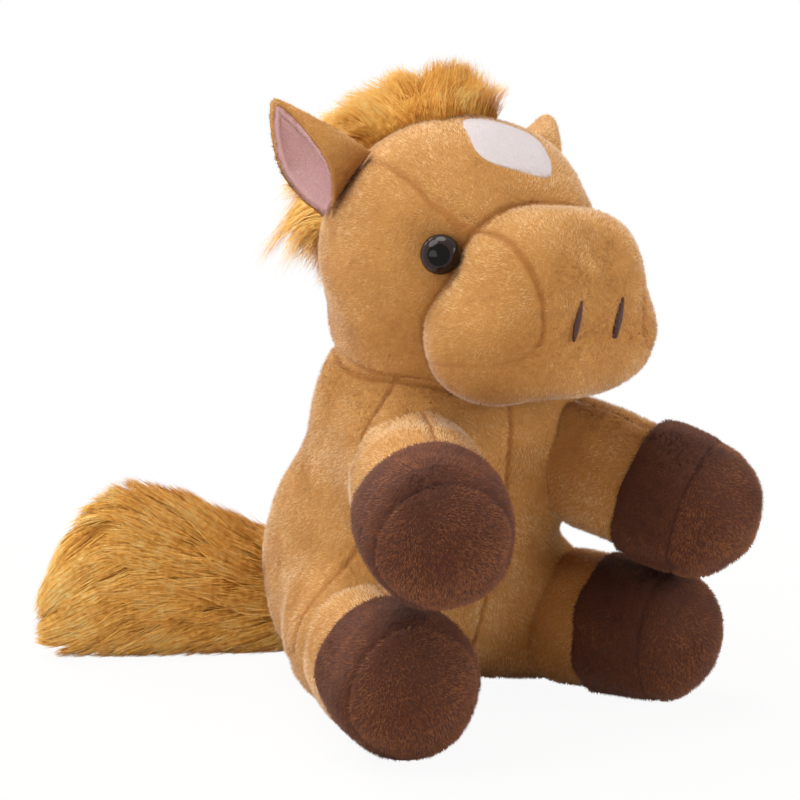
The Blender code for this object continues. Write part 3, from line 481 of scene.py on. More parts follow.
for leg_name, hoof in HOOVES.items():
    side = 1 if leg_name.endswith("left") else -1
    fore = leg_name.startswith("fore")
    root_radius, fat = (FORE_ROOT, FORE_RADIUS) if fore else (HIND_ROOT, HIND_RADIUS)
    pivot = (FORE_PIVOT if fore else HIND_PIVOT) * (side, 1, 1)
    hoof = np.array(hoof)
    hoof_at = np.linalg.norm(hoof - pivot)
    along = (hoof - pivot) / hoof_at
    first = np.array((side, 0, 0)) - along * along[0] * side
    first /= np.linalg.norm(first)
    second = np.cross(along, first)
    cuff_at = hoof_at - CUFF_BACK
    sole_at = cuff_at + CUFF_LENGTH + SOLE_OUT[leg_name]
    angles = np.linspace(0, 2 * math.pi, 96, endpoint=False)
    spokes = first * np.cos(angles)[:, None] + second * np.sin(angles)[:, None]

    def leg_field(points, pivot=pivot, along=along, cuff_at=cuff_at, root_radius=root_radius, fat=fat):
        offset = points - pivot
        at = offset @ along
        radius = np.linalg.norm(offset - at[:, None] * along, axis=1)
        thick = np.interp(at, (-0.004, 0.008, cuff_at * 0.62, cuff_at),
                          (root_radius * 0.75, fat - 0.0012, fat, fat - 0.0008))
        return np.maximum(radius - thick, -0.004 - at)

    legs.append(leg_field)
    stations = pivot + along * np.linspace(cuff_at + 0.0015, -0.0039, 48)[:, None]
    places = [station + spokes * (reach(leg_field, station, spokes, 0, 0.03) - CLOTH_SINK)[:, None]
              for station in stations]
    points, faces = rings(places)
    outward = np.tile(spokes, (len(stations), 1))
    at = (points - pivot) @ along
    spin = np.arctan2(outward @ second, outward @ first)
    seam = np.abs((points - pivot) @ first)
    folds = np.sin(spin * 7 + ripple(points, 0.02, 3 + side)) * np.exp(-((at - 0.009) / 0.006) ** 2) * 0.0003
    dent = ripple(points, 0.022, 31 if fore else 32) * 0.00040 + folds - groove(seam, 0.0004, 0.0005)
    points = points + outward * dent[:, None]
    points[:, 2] = np.maximum(points[:, 2], CLOTH_FLOOR)
    sleeve = solid(leg_name + "_sleeve", points, faces, tan_cloth)
    paint_seam_shade(sleeve, seam)

    def under_sleeve(points, pivot=pivot, along=along, cuff_at=cuff_at):
        past_cuff = (points - pivot) @ along > cuff_at + 0.0014
        return (skin_field(points) < -PILE_TUCK) | past_cuff | (points[:, 2] < PILE_FLOOR)

    def sleeve_seam(points, pivot=pivot, first=first):
        return np.abs((points - pivot) @ first)

    fur = pile(leg_name + "_pile", sleeve, tan_pile, combed(*(np.array((0, 0, -1)) - along * 0.6)),
               under_sleeve, sleeve_seam, lambda points: 0.10, seed=21 + len(leg_name) + side)
    for piece in (sleeve, fur):
        tuple(pivot + along * ROOT_BEND[0])
        tuple(pivot + along * ROOT_BEND[1])
        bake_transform(piece)
    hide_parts(leg_name + "_outer", leg_name + "_inner")

    places = []
    for turn in np.concatenate((np.linspace(0, 1, 30), np.linspace(1, 2, 44)[1:-1])):
        if turn <= 1:
            at = cuff_at - CUFF_OVERLAP + (hoof_at - cuff_at + CUFF_OVERLAP) * turn
            radius = fat + (HOOF_RADIUS - fat) * min(turn * 2.5, 1) ** 0.5 + 0.0002
            radius -= 0.0022 * math.exp(-((at - cuff_at + CUFF_OVERLAP) / 0.0006) ** 2)
        else:
            at = hoof_at + HOOF_RADIUS * math.sin((turn - 1) * math.pi / 2)
            radius = HOOF_RADIUS * math.cos((turn - 1) * math.pi / 2)
        places.append(pivot + along * at + spokes * radius)
    points, faces = rings(places)
    offset = points - hoof
    outward = offset / np.linalg.norm(offset, axis=1)[:, None]
    seam = np.abs((points - pivot) @ along - sole_at)
    dent = ripple(points, 0.018, 41 + side) * 0.0004 - CLOTH_SINK - groove(seam, 0.0004, 0.0005)
    points = points + outward * dent[:, None]
    points[:, 2] = np.maximum(points[:, 2], CLOTH_FLOOR)
    hoof_skin = solid(leg_name + "_hoof", points, faces, brown_cloth)
    paint_seam_shade(hoof_skin, seam + 0.0004)

    def hoof_seam(points, pivot=pivot, along=along, sole_at=sole_at):
        return np.abs((points - pivot) @ along - sole_at) + 0.0005

    def hoof_shift(points, pivot=pivot, along=along, sole_at=sole_at):
        return np.where((points - pivot) @ along > sole_at, 0.20, -0.14)

    def hoof_flow(points, hoof=hoof, along=along):
        return -along * 0.3 + np.array((0.35, 0, -1)) + (points - hoof) * 0.5

    fur = pile(leg_name + "_hoof_pile", hoof_skin, brown_pile, hoof_flow,
               lambda points: points[:, 2] < PILE_FLOOR, hoof_seam, hoof_shift,
               seed=51 + len(leg_name) + side)
    for piece in (hoof_skin, fur):
        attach(piece, leg_name)
    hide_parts(leg_name + "_cuff", leg_name + "_sole")

# The torso's own pile comes last here, as it ends where the legs and the neck cover it.


def under_torso(points):
    hidden = (np.linalg.norm(points - NECK, axis=1) < NECK_RADIUS - 0.0015) | (points[:, 2] < PILE_FLOOR)
    for field in legs:
        hidden |= field(points) < -PILE_TUCK
    return hidden


torso_pile = pile("torso_pile", torso, tan_pile, combed(0, 0.25, -1), under_torso, torso_seam,
                  lambda points: 0.03, seed=11)
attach(torso_pile, "torso")

# Head: a big round ball of tan plush, two side panels with a gusset over the top, closed under the chin by
# the muzzle. The gusset's seams run from the ears down to the muzzle and show as thin dark lines: a groove in
# the cloth with painted shade along it.

SKULL, SKULL_RADII = np.array((0, -0.0256, 0.1187)), (0.0368, 0.0350, 0.0350)
MUZZLE = np.array((0, -0.05910, 0.10490))
NOSE_MIDDLE, NOSE_RADII, NOSE_POWER = (0, -0.0607, 0.1090), (0.0246, 0.0197, 0.0240), 2.5
CHEEK_MIDDLE, CHEEK_RADII = np.array((0.0150, -0.0575, 0.1008)), (0.0165, 0.0185, 0.0165)
NECK_BLEND, CHEEK_BLEND = 0.003, 0.004
GUSSET_FRONTS = (0.0183, 0.0356, 0.0450, 0.0515, 0.0559)
GUSSET_HALVES = (0.0255, 0.0269, 0.0249, 0.0207, 0.0158)
NAPE_SLOPE = 0.55
FACE_PILE, BRUSHED_BACK = 0.0009, combed(0, 1, -0.35)
STAR_TILT = math.radians(35)
STAR_OUT = np.array((0, -math.sin(STAR_TILT), math.cos(STAR_TILT)))
STAR_UP = np.array((0, math.cos(STAR_TILT), math.sin(STAR_TILT)))
STAR_MIDDLE = np.array((0.0007, 0.0009))
STAR_SIDES = np.array(((0.0033, 0.0103), (0.0099, -0.0046)))
STAR_POWER = 3.2
EYE_TURN, EYE_LIFT = math.radians(46), math.radians(4)
EYE_PULL, EYE_PULL_REACH, EYE_SEAT = 0.0016, 0.0062, 0.0044

head_field = joined([lobe(SKULL, SKULL_RADII), lobe(NECK, (NECK_RADIUS,) * 3)], NECK_BLEND)
muzzle_field = joined([lobe(NOSE_MIDDLE, NOSE_RADII, NOSE_POWER)]
                      + [lobe(CHEEK_MIDDLE * (side, 1, 1), CHEEK_RADII) for side in (1, -1)], CHEEK_BLEND)


def head_seam(points):
    """Distance to the gusset's seams, on both sides of the head and round the nape."""
    x, y, z = np.abs(points[:, 0]), points[:, 1], points[:, 2]
    half = np.interp(-y, GUSSET_FRONTS, GUSSET_HALVES)
    above = z > NECK[2] - (y - NECK[1]) * NAPE_SLOPE
    sides = np.where(above, np.abs(x - half), 1.0)
    nape = np.abs(z - NECK[2] + (y - NECK[1]) * NAPE_SLOPE) * 0.88
    nape = np.where((x < GUSSET_HALVES[0]) & (y > -0.01), nape, 1.0)
    collar = np.where(z < NECK[2], np.abs(torso_field(points)), 1.0)
    return np.minimum(np.minimum(sides, nape), np.minimum(collar, np.abs(muzzle_field(points)) + 0.0002))


def in_star(points):
    """Signed distance to the white patch's outline, below 0 inside it."""
    flat = np.stack((points[:, 0], (points - SKULL) @ STAR_UP), axis=1) - STAR_MIDDLE
    outside = (np.abs(flat @ np.linalg.inv(STAR_SIDES)) ** STAR_POWER).sum(axis=1) ** (1 / STAR_POWER) - 1
    return np.where((points - SKULL) @ STAR_OUT > 0, outside * STAR_SIDES[0, 1], 1.0)


def eye_place(side):
    way = np.array((math.sin(EYE_TURN) * side * math.cos(EYE_LIFT), -math.cos(EYE_TURN) * math.cos(EYE_LIFT),
                    math.sin(EYE_LIFT)))
    return SKULL + way * reach(head_field, SKULL, way[None, :], 0, 0.06)[0], way


def head_cloth(ways):
    """The head's skin along some ways from the skull's middle: swells, seams and the pull of the eyes."""
    points = SKULL + ways * (reach(head_field, SKULL, ways, 0, 0.07) - CLOTH_SINK)[:, None]
    dent = ripple(points, 0.034, 61) * 0.0005 - groove(head_seam(points), 0.0005, 0.0005)
    for side in (1, -1):
        from_eye = np.linalg.norm(points - eye_place(side)[0], axis=1)
        dent -= EYE_PULL * np.exp(-(from_eye / EYE_PULL_REACH) ** 2)
    return points + ways * dent[:, None]


ways, faces = ball(84)
points = head_cloth(ways)
seam = head_seam(points)
head = solid("head_skin", points, faces, tan_cloth)
paint_seam_shade(head, seam)
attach(head, "head")
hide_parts("head_gusset", "head_side_left", "head_side_right")


def under_head(points):
    hidden = (muzzle_field(points) < -0.0010) | (in_star(points) < -0.0003) | (torso_field(points) < -0.0040)
    for side in (1, -1):
        hidden |= np.linalg.norm(points - eye_place(side)[0], axis=1) < EYE_SEAT
    return hidden


# Painted light: the pile gets lighter towards the top of the head, as if lit from above.
head_pile = pile("head_pile", head, tan_pile, BRUSHED_BACK, under_head, head_seam,
                 lambda points: np.clip(points[:, 2] - SKULL[2], 0, 1) * 8 - 0.20, FACE_PILE, seed=62)
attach(head_pile, "head")

# Muzzle: one panel over the top, front and chin, with a round cheek let in on each side, stuffed so that it
# bulges. It is sewn on the head all round, which leaves a deep crease.

NOSE_PANEL_HALF, CHEEK_ROUNDING = 0.0158, 0.007
CHEEK_OUTLINE = ((0.0190, 0.0240), (0.0001, 0.0233), (-0.0049, 0.0226), (-0.0109, 0.0202),
                 (-0.0154, 0.0165), (-0.0194, 0.0115), (-0.0309, 0.0070), (-0.0309, -0.0020),
                 (-0.0194, -0.0053), (-0.0149, -0.0076), (-0.0079, -0.0092), (0.0190, -0.0100))


def cheek_seam(points):
    """Distance to the seam round each cheek: its outline from the side, ended by the nose panel's edge."""
    flat = points[:, 1:] - MUZZLE[1:]
    inside = np.zeros(len(points), bool)
    loop = list(CHEEK_OUTLINE) + [CHEEK_OUTLINE[0]]
    for (ya, za), (yb, zb) in zip(loop, loop[1:]):
        if za != zb:
            crossing = (flat[:, 1] < za) != (flat[:, 1] < zb)
            inside ^= crossing & (flat[:, 0] < ya + (flat[:, 1] - za) / (zb - za) * (yb - ya))
    outline = to_path(flat, CHEEK_OUTLINE)
    outline = np.where(inside, -outline, outline)
    panel = NOSE_PANEL_HALF - np.abs(points[:, 0])
    near = np.maximum(CHEEK_ROUNDING - np.abs(outline - panel), 0) / CHEEK_ROUNDING
    cheek = np.abs(np.maximum(outline, panel) + near * near * CHEEK_ROUNDING / 4)
    cheek = cheek + np.where(flat[:, 1] < -0.004, 0.0005, 0)
    return np.minimum(cheek, np.abs(head_field(points)) + 0.0003)


ways, faces = ball(72)
points = MUZZLE + ways * (reach(muzzle_field, MUZZLE, ways, 0, 0.06) - CLOTH_SINK)[:, None]
seam = cheek_seam(points)
dent = ripple(points, 0.024, 71) * 0.0004 - groove(seam, 0.0004, 0.0005)
points = points + ways * dent[:, None]
muzzle = solid("muzzle_skin", points, faces, tan_cloth)
paint_seam_shade(muzzle, seam)
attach(muzzle, "head")
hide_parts("nose_panel", "cheek_left", "cheek_right")

# Painted light: the pile gets lighter towards the top of the muzzle, as if lit from above.
muzzle_pile = pile("muzzle_pile", muzzle, tan_pile, combed(0, 1, -0.3),
                   lambda points: head_field(points) < -0.0010, cheek_seam,
                   lambda points: np.clip(points[:, 2] - MUZZLE[2], 0, 1) * 8 - 0.19, FACE_PILE, seed=72)
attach(muzzle_pile, "head")

# White patch: a rounded square of white plush let into the brow of the gusset a little askew, with a shorter
# pile than the cloth round it.

WHITE = (0.63, 0.600, 0.610), (0.69, 0.665, 0.680), (0.75, 0.730, 0.745)
white_cloth = cloth("white_cloth", (0.69, 0.665, 0.680), (0.60, 0.57, 0.58))
white_pile = fibre("white_pile", WHITE, 0.10)
angles = np.linspace(0, 2 * math.pi, 72, endpoint=False)
edge = np.stack((np.cos(angles), np.sin(angles)), axis=1)
edge = edge / ((np.abs(edge) ** STAR_POWER).sum(axis=1) ** (1 / STAR_POWER))[:, None] @ STAR_SIDES
places = []
for share in (0.02, 0.15, 0.3, 0.45, 0.6, 0.75, 0.88, 0.96, 1.0):
    flat = edge * share + STAR_MIDDLE
    spots = STAR_OUT * np.sqrt(SKULL_RADII[1] ** 2 - (flat ** 2).sum(axis=1))[:, None]
    spots = spots + flat @ np.array(((1, 0, 0), STAR_UP))
    spots = spots / np.linalg.norm(spots, axis=1)[:, None]
    places.append(head_cloth(spots) + spots * (0.0006 - 0.0005 * share ** 6))
low = [place - STAR_OUT * 0.0012 for place in places]
points, faces = rings(places + low[::-1])
star = solid("star_patch_skin", points, faces, white_cloth)
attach(star, "head")
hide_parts("star_patch")
star_pile = pile("star_pile", star, white_pile, BRUSHED_BACK, lambda points: head_field(points) < -0.0005,
                 length=0.0006, lean=30, seed=82)
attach(star_pile, "head")

# Nostrils: a tapering bar of satin stitch on each side of the nose panel, in dark brown thread. The stitches
# lie side by side, flat on the cloth.

THREAD_RADIUS, STITCHES = 0.00034, 17
NOSTRIL_LENGTH, NOSTRIL_HALF_WIDTH = 0.0095, 0.0010
NOSTRIL_OUT, NOSTRIL_FRONT, NOSTRIL_HEIGHT = 0.0066, -0.0804, 0.1064
thread = finish("nostril_thread", (0.060, 0.018, 0.012), 0.6)
wire = Wire(thread.node_tree)
twist = wire.node("TexNoise", None, {"Vector": wire.node("TexCoord", None, None, 3), "Scale": 2600})
feed(thread, "Base Color", twist.mixed((0.035, 0.009, 0.006, 1), (0.085, 0.026, 0.018, 1)))
for side, side_name in ((1, "left"), (-1, "right")):
    points, faces = [], []
    for stitch in range(STITCHES):
        share = (stitch + 0.5) / STITCHES
        along = (share - 0.5) * NOSTRIL_LENGTH
        wide = NOSTRIL_HALF_WIDTH * (0.15 + 0.85 * math.sin(math.pi * share) ** 0.8)
        middle = NOSTRIL_OUT * side - 0.0010 + along * 0.2
        across = np.linspace(-1, 1, 9)
        spots = np.stack((middle + across * wide, np.full(9, NOSTRIL_FRONT),
                          NOSTRIL_HEIGHT + along + across * 0.0003), axis=1)
        aims = spots - MUZZLE
        aims /= np.linalg.norm(aims, axis=1)[:, None]
        out = reach(muzzle_field, MUZZLE, aims, 0, 0.06) - 0.0003
        out += 0.0006 * np.sqrt(np.maximum(1 - across ** 4, 0))
        line = MUZZLE + aims * out[:, None]
        angles = np.linspace(0, 2 * math.pi, 8, endpoint=False)
        turns = aims[4] * np.cos(angles)[:, None] + np.array((0, 0, 1)) * np.sin(angles)[:, None]
        ring = [spot + THREAD_RADIUS * turns for spot in line]
        more, shape_faces = rings(ring)
        faces += [[index + len(points) * len(more) for index in face] for face in shape_faces]
        points.append(more)
    nostril = solid("nostril_" + side_name + "_stitches", np.concatenate(points), faces, thread)
    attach(nostril, "head")
    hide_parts("nostril_" + side_name)

# Safety eyes: a glossy dome of hard plastic with a dark brown iris, a black pupil and a thin rim. Its shank
# goes through the cloth into the washer behind.

EYE_RADIUS, EYE_DOME = 0.0049, 0.0040
eye_finishes = [finish("eye_rim", (0.020, 0.010, 0.008), 0.12, Coat_Weight=0.3, Specular_IOR_Level=0.1),
                finish("eye_iris", (0.040, 0.020, 0.016), 0.10, Coat_Weight=0.3, Specular_IOR_Level=0.1),
                finish("eye_pupil", (0.004, 0.003, 0.003), 0.06, Coat_Weight=0.3, Specular_IOR_Level=0.0)]
for material, low, high in zip(eye_finishes, (0.010, 0.014, 0.002), (0.018, 0.030, 0.004)):
    wire = Wire(material.node_tree)
    cloud = wire.node("TexNoise", None, {"Vector": wire.node("TexCoord", None, None, 3), "Scale": 500})
    darker, lighter = ((red, red * 0.5, red * 0.42, 1) for red in (low, high))
    feed(material, "Base Color", cloud.mixed(darker, lighter))
for side, side_name in ((1, "left"), (-1, "right")):
    eye, way = eye_place(side)
    first = np.cross(way, (0, 0, 1))
    first /= np.linalg.norm(first)
    second = np.cross(way, first)
    angles = np.linspace(0, 2 * math.pi, 64, endpoint=False)
    spokes = first * np.cos(angles)[:, None] + second * np.sin(angles)[:, None]
    profile = [(-0.0012, 0.0040), (-0.0010, EYE_RADIUS)]
    for step in range(25):
        turn = math.pi / 2 * step / 24
        profile.append((0.0008 + (EYE_DOME - 0.0005) * math.sin(turn), EYE_RADIUS * math.cos(turn) + 0.00002))
    points, faces = rings([eye + way * rise + spokes * radius for rise, radius in profile])
    dome = solid("eye_" + side_name + "_dome", points, faces, eye_finishes[0])
    for material in eye_finishes[1:]:
        dome.data.materials.append(material)
    for face in dome.data.polygons:
        flat = np.array(face.center) - eye
        radius = np.linalg.norm(flat - way * (flat @ way))
        face.material_index = 2 if radius < EYE_RADIUS * 0.58 else 1 if radius < EYE_RADIUS * 0.90 else 0
    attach(dome, "head")
    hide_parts("eye_" + side_name)

# Ears: a tan back and a smooth pink lining sewn edge to edge, cupped, and gathered into the head's side seam.
# The left ear lies lower than the right one.

EAR_LENGTH, EAR_HALF_WIDTH, EAR_CLOTH = 0.0272, 0.0108, 0.0014
EAR_WRAP, EAR_WEDGE = math.radians(82), math.tan(math.radians(11))
EAR_TOP, EAR_END, EAR_LIFT = (0.672, 0.154, 0.725), (0.891, 0.365, 0.269), 0.0006
EAR_AXES = {"left": (0.799, 0.542, 0.260), "right": (-0.785, 0.434, 0.484)}
EAR_FRONT = np.array((0, -0.992, 0.125))
PINK = (0.56, 0.320, 0.330), (0.73, 0.485, 0.510), (0.85, 0.660, 0.690)
pink_cloth = cloth("pink_cloth", (0.68, 0.450, 0.470), (0.50, 0.29, 0.29))
pink_pile = fibre("pink_pile", PINK)


def on_head(points, lift):
    toward = points - SKULL
    toward /= np.linalg.norm(toward, axis=1)[:, None]
    return SKULL + toward * (reach(head_field, SKULL, toward, 0, 0.07) + lift)[:, None]


for side, side_name in ((1, "left"), (-1, "right")):
    top, end = on_head(SKULL + np.array((EAR_TOP, EAR_END)) * (side, 1, 1), EAR_LIFT)
    fold_line = end - top
    fold_way = fold_line / np.linalg.norm(fold_line)
    axis = np.array(EAR_AXES[side_name])
    axis /= np.linalg.norm(axis)

    def ear(u, v, level):
        leaf = np.sqrt(np.maximum(1 - u * u, 0)) * (0.92 + 0.22 * np.sin(np.pi * u))
        wide = EAR_HALF_WIDTH * leaf * (0.36 + 0.64 * np.sin(np.pi / 2 * np.minimum(u / 0.5, 1)))
        across = np.sin(v * EAR_WRAP) * np.maximum(wide - level, 0.0002)
        fold = (1 - np.cos(v * EAR_WRAP)) / (1 - math.cos(EAR_WRAP)) * (1 - u) * (1 - level / EAR_HALF_WIDTH)
        place = top + axis * (u * (EAR_LENGTH - level))[:, None] + EAR_FRONT * across[:, None]
        place = place + fold_line * fold[:, None] + fold_way * level
        near = np.maximum(1 - u / 0.12, 0)[:, None]
        return place * (1 - near) + on_head(place, 0.0002 + np.abs(across) * EAR_WEDGE * 0.6) * near

    for part_name, low, high, material in (("back", 0.0, EAR_CLOTH, tan_cloth),
                                           ("lining", EAR_CLOTH - 0.0002, EAR_CLOTH * 2, pink_cloth)):
        rows, columns = 40, 44
        closer = 1 - (1 - np.linspace(0, 1, rows)) ** 1.5
        u, v = np.meshgrid(closer, np.linspace(-1, 1, columns), indexing="ij")
        wide_lining = 1.03 if part_name == "lining" else 1.0
        places = [ear(row_u, row_v * wide_lining, low) for row_u, row_v in zip(u, v)]
        under = [ear(row_u, row_v * wide_lining, high)[::-1] for row_u, row_v in zip(u, v)]
        points, faces = rings([np.concatenate(pair) for pair in zip(places, under)])
        skin = solid("ear_" + part_name + "_skin_" + side_name, points, faces, material)
        tan_side = part_name == "back"
        fur = pile("ear_" + part_name + "_pile_" + side_name, skin, tan_pile if tan_side else pink_pile,
                   lambda points, axis=axis: axis + 0 * points, length=0.0009 if tan_side else 0.0004,
                   lean=34, seed=90 + side + 4 * tan_side)
        for piece in (skin, fur):
            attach(piece, "ear_" + side_name)
        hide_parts("ear_" + part_name + "_" + side_name)

# Mane: long silky pile on a strip of backing cloth, sewn over the head from the brow to the nape. The
# forelock stands up and fans out, and the nape lies down.

GOLD = (0.56, 0.235, 0.028), (0.93, 0.550, 0.115), (0.97, 0.820, 0.340)
gold_cloth = cloth("gold_cloth", (0.60, 0.320, 0.045), (0.38, 0.170, 0.022))
gold_pile = fibre("gold_pile", GOLD)
STRAND_SHADE_TO_LIGHT = (-0.32, -0.32, -0.12, -0.12, 0.01, 0.01, 0.07, 0.07, 0.12)
MANE_PILE, MANE_STRAND_WIDTH = 0.0160, 0.00020
MANE_START, MANE_END = math.radians(7), math.radians(108)
MANE_WIDTHS = (0.0085, 0.0165, 0.0165, 0.0235, 0.0085)
MANE_HEIGHTS = (0.30, 0.68, 0.98, 1.42, 0.90, 0.10)


def strands(name, roots, bends, tips, ups, width, tones, material, seed):
    """Long fibres, each a bent ribbon from its root through its bend to its tip, four faces long."""
    chance = np.random.default_rng(seed)
    count = len(roots)
    middle = []
    for share in (0, 0.3, 0.6, 0.85, 1):
        middle.append(roots * (1 - share) ** 2 + bends * (2 * share * (1 - share)) + tips * share ** 2)
    way = (tips - roots) / np.linalg.norm(tips - roots, axis=1)[:, None]
    ups = ups - way * (ups * way).sum(axis=1)[:, None]
    ups /= np.maximum(np.linalg.norm(ups, axis=1), 1e-9)[:, None]
    side = np.cross(way, ups)
    side = side + ups * (chance.normal(size=count) * 0.25)[:, None]
    half = side * (width / 2 * chance.uniform(0.6, 1.3, count))[:, None]
    rows = []
    for spot, thick in zip(middle[:-1], (0.8, 1, 0.85, 0.5)):
        rows += [spot - half * thick, spot + half * thick]
    places = np.stack(rows + [middle[-1]], axis=1).reshape(-1, 3)
    places[:, 2] = np.maximum(places[:, 2], CLOTH_FLOOR)
    base = np.arange(count)[:, None] * 9
    quads = np.concatenate([base + np.array((low, low + 1, low + 3, low + 2)) for low in (0, 2, 4)])
    ends = base + np.array((6, 7, 8))
    # Painted shade towards each strand's root and painted light towards its tip.
    tone = np.stack([tones + rise for rise in STRAND_SHADE_TO_LIGHT], axis=1).ravel()
    shade = ups + side * (chance.normal(size=count) * 0.10)[:, None]
    shade /= np.linalg.norm(shade, axis=1)[:, None]
    faces = quads.tolist() + ends.tolist()
    return blades(name, places, faces, 9, np.repeat(shade, 9, axis=0), tone, material)


def mane_place(u, v):
    """A place on the mane's strip, the way out of the head there and the pile's height."""
    angle = MANE_END * u - MANE_START * (1 - u)
    around = v * np.interp(u, (0, 0.30, 0.50, 0.75, 1), MANE_WIDTHS) / SKULL_RADII[1]
    back, up = np.sin(angle) * np.cos(around), np.cos(angle) * np.cos(around)
    toward = np.stack((np.sin(around), back, up), axis=1)
    height = np.interp(u, (0, 0.10, 0.25, 0.50, 0.75, 1), MANE_HEIGHTS)
    height = MANE_PILE * (0.12 + height * np.sqrt(np.maximum(1 - v ** 4, 0)))
    return SKULL + toward * reach(head_field, SKULL, toward, 0, 0.07)[:, None], toward, height


rows = []
for u in np.linspace(0, 1, 40):
    v = np.linspace(-1, 1, 24)
    place, toward, height = mane_place(np.full(24, u), v)
    rows.append(np.concatenate((place - toward * 0.0005, (place + toward * (height * 0.42)[:, None])[::-1])))
points, faces = rings(rows)
mane_core = solid("mane_backing", points, faces, gold_cloth)
chance = np.random.default_rng(101)
tufts, each = 170, 130
u, v = chance.random(tufts), chance.uniform(-1, 1, tufts)
place, toward, height = mane_place(u, v)
sweep = np.stack((chance.normal(size=tufts) * 0.12, np.cos(u * 1.9), -np.sin(u * 1.9)), axis=1)
lean = np.interp(u, (0, 0.08, 0.16, 0.35, 0.6, 1), (-0.70, -0.35, 0.20, 0.70, 0.75, 0.85))
lean = lean + chance.normal(size=tufts) * 0.10
length = height * chance.uniform(0.84, 1.02, tufts)
aim = toward + sweep * np.tan(lean)[:, None]
tuft_tip = place + aim * length[:, None]
owner = np.repeat(np.arange(tufts), each)
spread = chance.normal(size=(2, tufts * each))
near_u = np.clip(u[owner] + spread[0] * 0.035, 0, 1)
near_v = np.clip(v[owner] + spread[1] * 0.20, -1, 1)
roots, out = mane_place(near_u, near_v)[:2]
tips = tuft_tip[owner] + (roots - place[owner]) * 0.55 + chance.normal(size=roots.shape) * 0.0009
bends = roots + out * (length[owner] * 0.60)[:, None] + chance.normal(size=roots.shape) * 0.0006
ups = out * np.sin(lean)[owner, None] - sweep[owner] * np.cos(lean)[owner, None]
ups = ups + np.array((1.0, 0, 0)) * (near_v * 1.4 + spread[1] * 0.30)[:, None]
tones = 0.5 + (chance.normal(size=tufts) * 0.10)[owner] + chance.normal(size=len(owner)) * 0.04
mane = strands("mane_strands", roots, bends, tips, ups, MANE_STRAND_WIDTH, tones, gold_pile, 102)
for piece in (mane_core, mane):
    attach(piece, "head")
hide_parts("mane")

# Tail: a fan of the same long pile, sewn in low on the back. It stands on the floor, and its tufts overlap
# like shingles and end in soft points.

TAIL_PIVOT = np.array((-0.0040, 0.0375, 0.0180))
TAIL_TURN = math.radians(149)
TAIL_WAY = np.array((math.cos(TAIL_TURN), math.sin(TAIL_TURN), 0))
TAIL_SIDE = np.array((-TAIL_WAY[1], TAIL_WAY[0], 0))
TAIL_LENGTH, TAIL_HEIGHT, TAIL_THICKNESS = 0.0760, 0.0500, 0.0190
TAIL_CORE, TAIL_STRAND_WIDTH = 0.80, 0.00022
TAIL_TOPS = (0, 0.22, 0.48, 0.70, 0.85, 0.95, 1), (0.62, 0.74, 0.94, 1, 0.82, 0.56, 0.34)
TAIL_FEET = (0, 0.80, 0.90, 0.95, 1), (0, 0, 0.01, 0.03, 0.10)
TAIL_WIDTHS = (0, 0.12, 0.30, 0.55, 0.80, 0.95, 1), (0.37, 0.50, 0.85, 1, 0.80, 0.45, 0.18)
TAIL_ROOT = (-0.06, 0.05), (0.45, 1)


def tail_place(share, angle, full=1.0):
    """A place on the fan: share of the way out, angle round its section, fullness against its CAD form."""
    top = np.interp(share, *TAIL_TOPS) * TAIL_HEIGHT
    foot = np.interp(share, *TAIL_FEET) * TAIL_HEIGHT
    gathered = np.interp(share, *TAIL_ROOT)
    fat = np.interp(share, *TAIL_WIDTHS)
    across = TAIL_SIDE * (fat * gathered * TAIL_THICKNESS / 2 * np.cos(angle) * full)[:, None]
    place = TAIL_PIVOT + TAIL_WAY * (share * TAIL_LENGTH)[:, None] + across
    place[:, 2] = (top + foot) / 2 + (top - foot) / 2 * gathered * full * np.sin(angle)
    return place


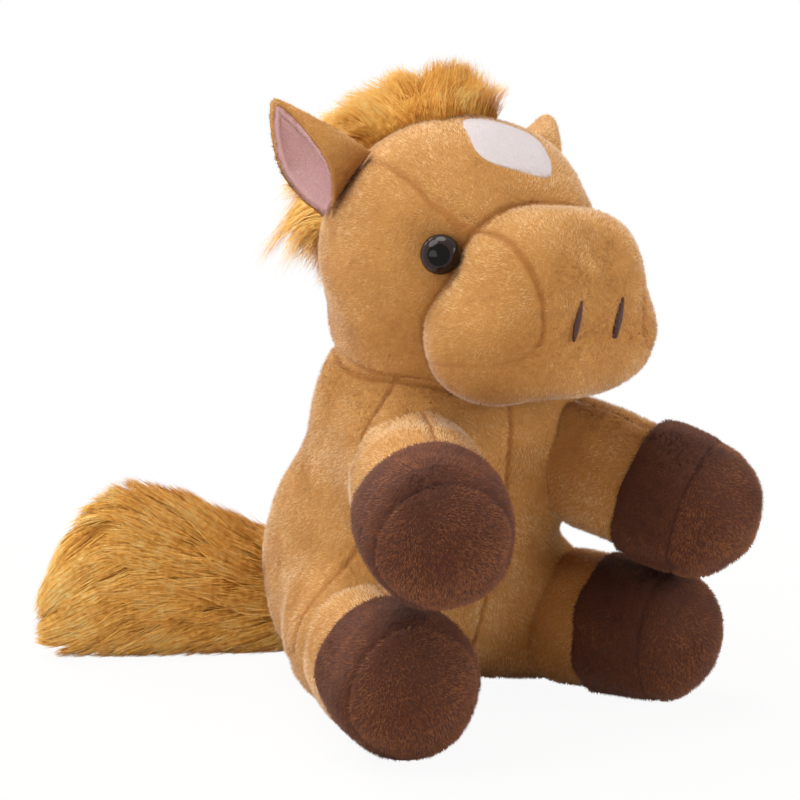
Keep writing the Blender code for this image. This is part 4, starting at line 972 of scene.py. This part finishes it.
around = np.linspace(0, 2 * math.pi, 40, endpoint=False)
stations = np.linspace(-0.06, 0.90, 46)
points, faces = rings([tail_place(np.full(40, share), around, TAIL_CORE) for share in stations])
points[:, 2] = np.maximum(points[:, 2], 0.0003)
tail_core = solid("tail_backing", points, faces, gold_cloth)
chance = np.random.default_rng(111)
tufts, each = 760, 44
share = chance.uniform(-0.05, 0.93, tufts)
angle = chance.uniform(0, 2 * math.pi, tufts)
reach_on = chance.uniform(0.10, 0.17, tufts)
owner = np.repeat(np.arange(tufts), each)
spread = chance.normal(size=(2, tufts * each))
near = share[owner] + spread[0] * 0.016
near_angle = angle[owner] + spread[1] * 0.09
roots = tail_place(near, near_angle, TAIL_CORE)
tip_share = np.minimum(share + reach_on, 1.0)
tip_angle = angle + chance.normal(size=tufts) * 0.06
tuft_tip = tail_place(tip_share, tip_angle, 1.04)
tips = tuft_tip[owner] + (roots - tail_place(share, angle, TAIL_CORE)[owner]) * 0.60
tips = tips + chance.normal(size=roots.shape) * 0.0006
ups = TAIL_SIDE * np.cos(near_angle)[:, None] + np.array((0, 0, 1)) * (np.sin(near_angle) * 0.5)[:, None]
bends = (roots + tips) / 2 + ups * 0.0022 + chance.normal(size=roots.shape) * 0.0005
ups = ups + np.array((0, 0, 1)) * (spread[1] * 0.30)[:, None]
tones = 0.42 + (share * 0.20 + chance.normal(size=tufts) * 0.10)[owner]
tones = tones + chance.normal(size=len(owner)) * 0.04
tail = strands("tail_strands", roots, bends, tips, ups, TAIL_STRAND_WIDTH, tones, gold_pile, 112)
for piece in (tail_core, tail):
    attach(piece, "tail")
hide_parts("tail")

# Filling: fibre in the body, head and legs, a sack of pellets in the seat and a washer behind each eye. All
# of it stays as the CAD has it, shut in by the skins.

fibre_fill = finish("filling_fibre", (0.80, 0.79, 0.76), 0.95)
sack = finish("pellet_sack", (0.55, 0.53, 0.48), 0.85)
grey_plastic = finish("washer_plastic", (0.30, 0.30, 0.31), 0.4)
for material, scale, low, high in ((fibre_fill, 260, (0.70, 0.69, 0.66), (0.86, 0.85, 0.83)),
                                   (sack, 420, (0.46, 0.44, 0.39), (0.62, 0.60, 0.55)),
                                   (grey_plastic, 900, (0.26, 0.26, 0.27), (0.34, 0.34, 0.35))):
    wire = Wire(material.node_tree)
    place = wire.node("TexCoord", None, None, 3)
    mottle = wire.node("TexNoise", None, {"Vector": place, "Scale": scale, "Detail": 4})
    feed(material, "Base Color", mottle.mixed((*low, 1), (*high, 1)))
for name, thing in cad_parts.items():
    for key, material in (("stuffing", fibre_fill), ("pellet_bag", sack), ("washer", grey_plastic)):
        if key in name:
            for place in thing.material_slots:
                place.link, place.material = "OBJECT", material
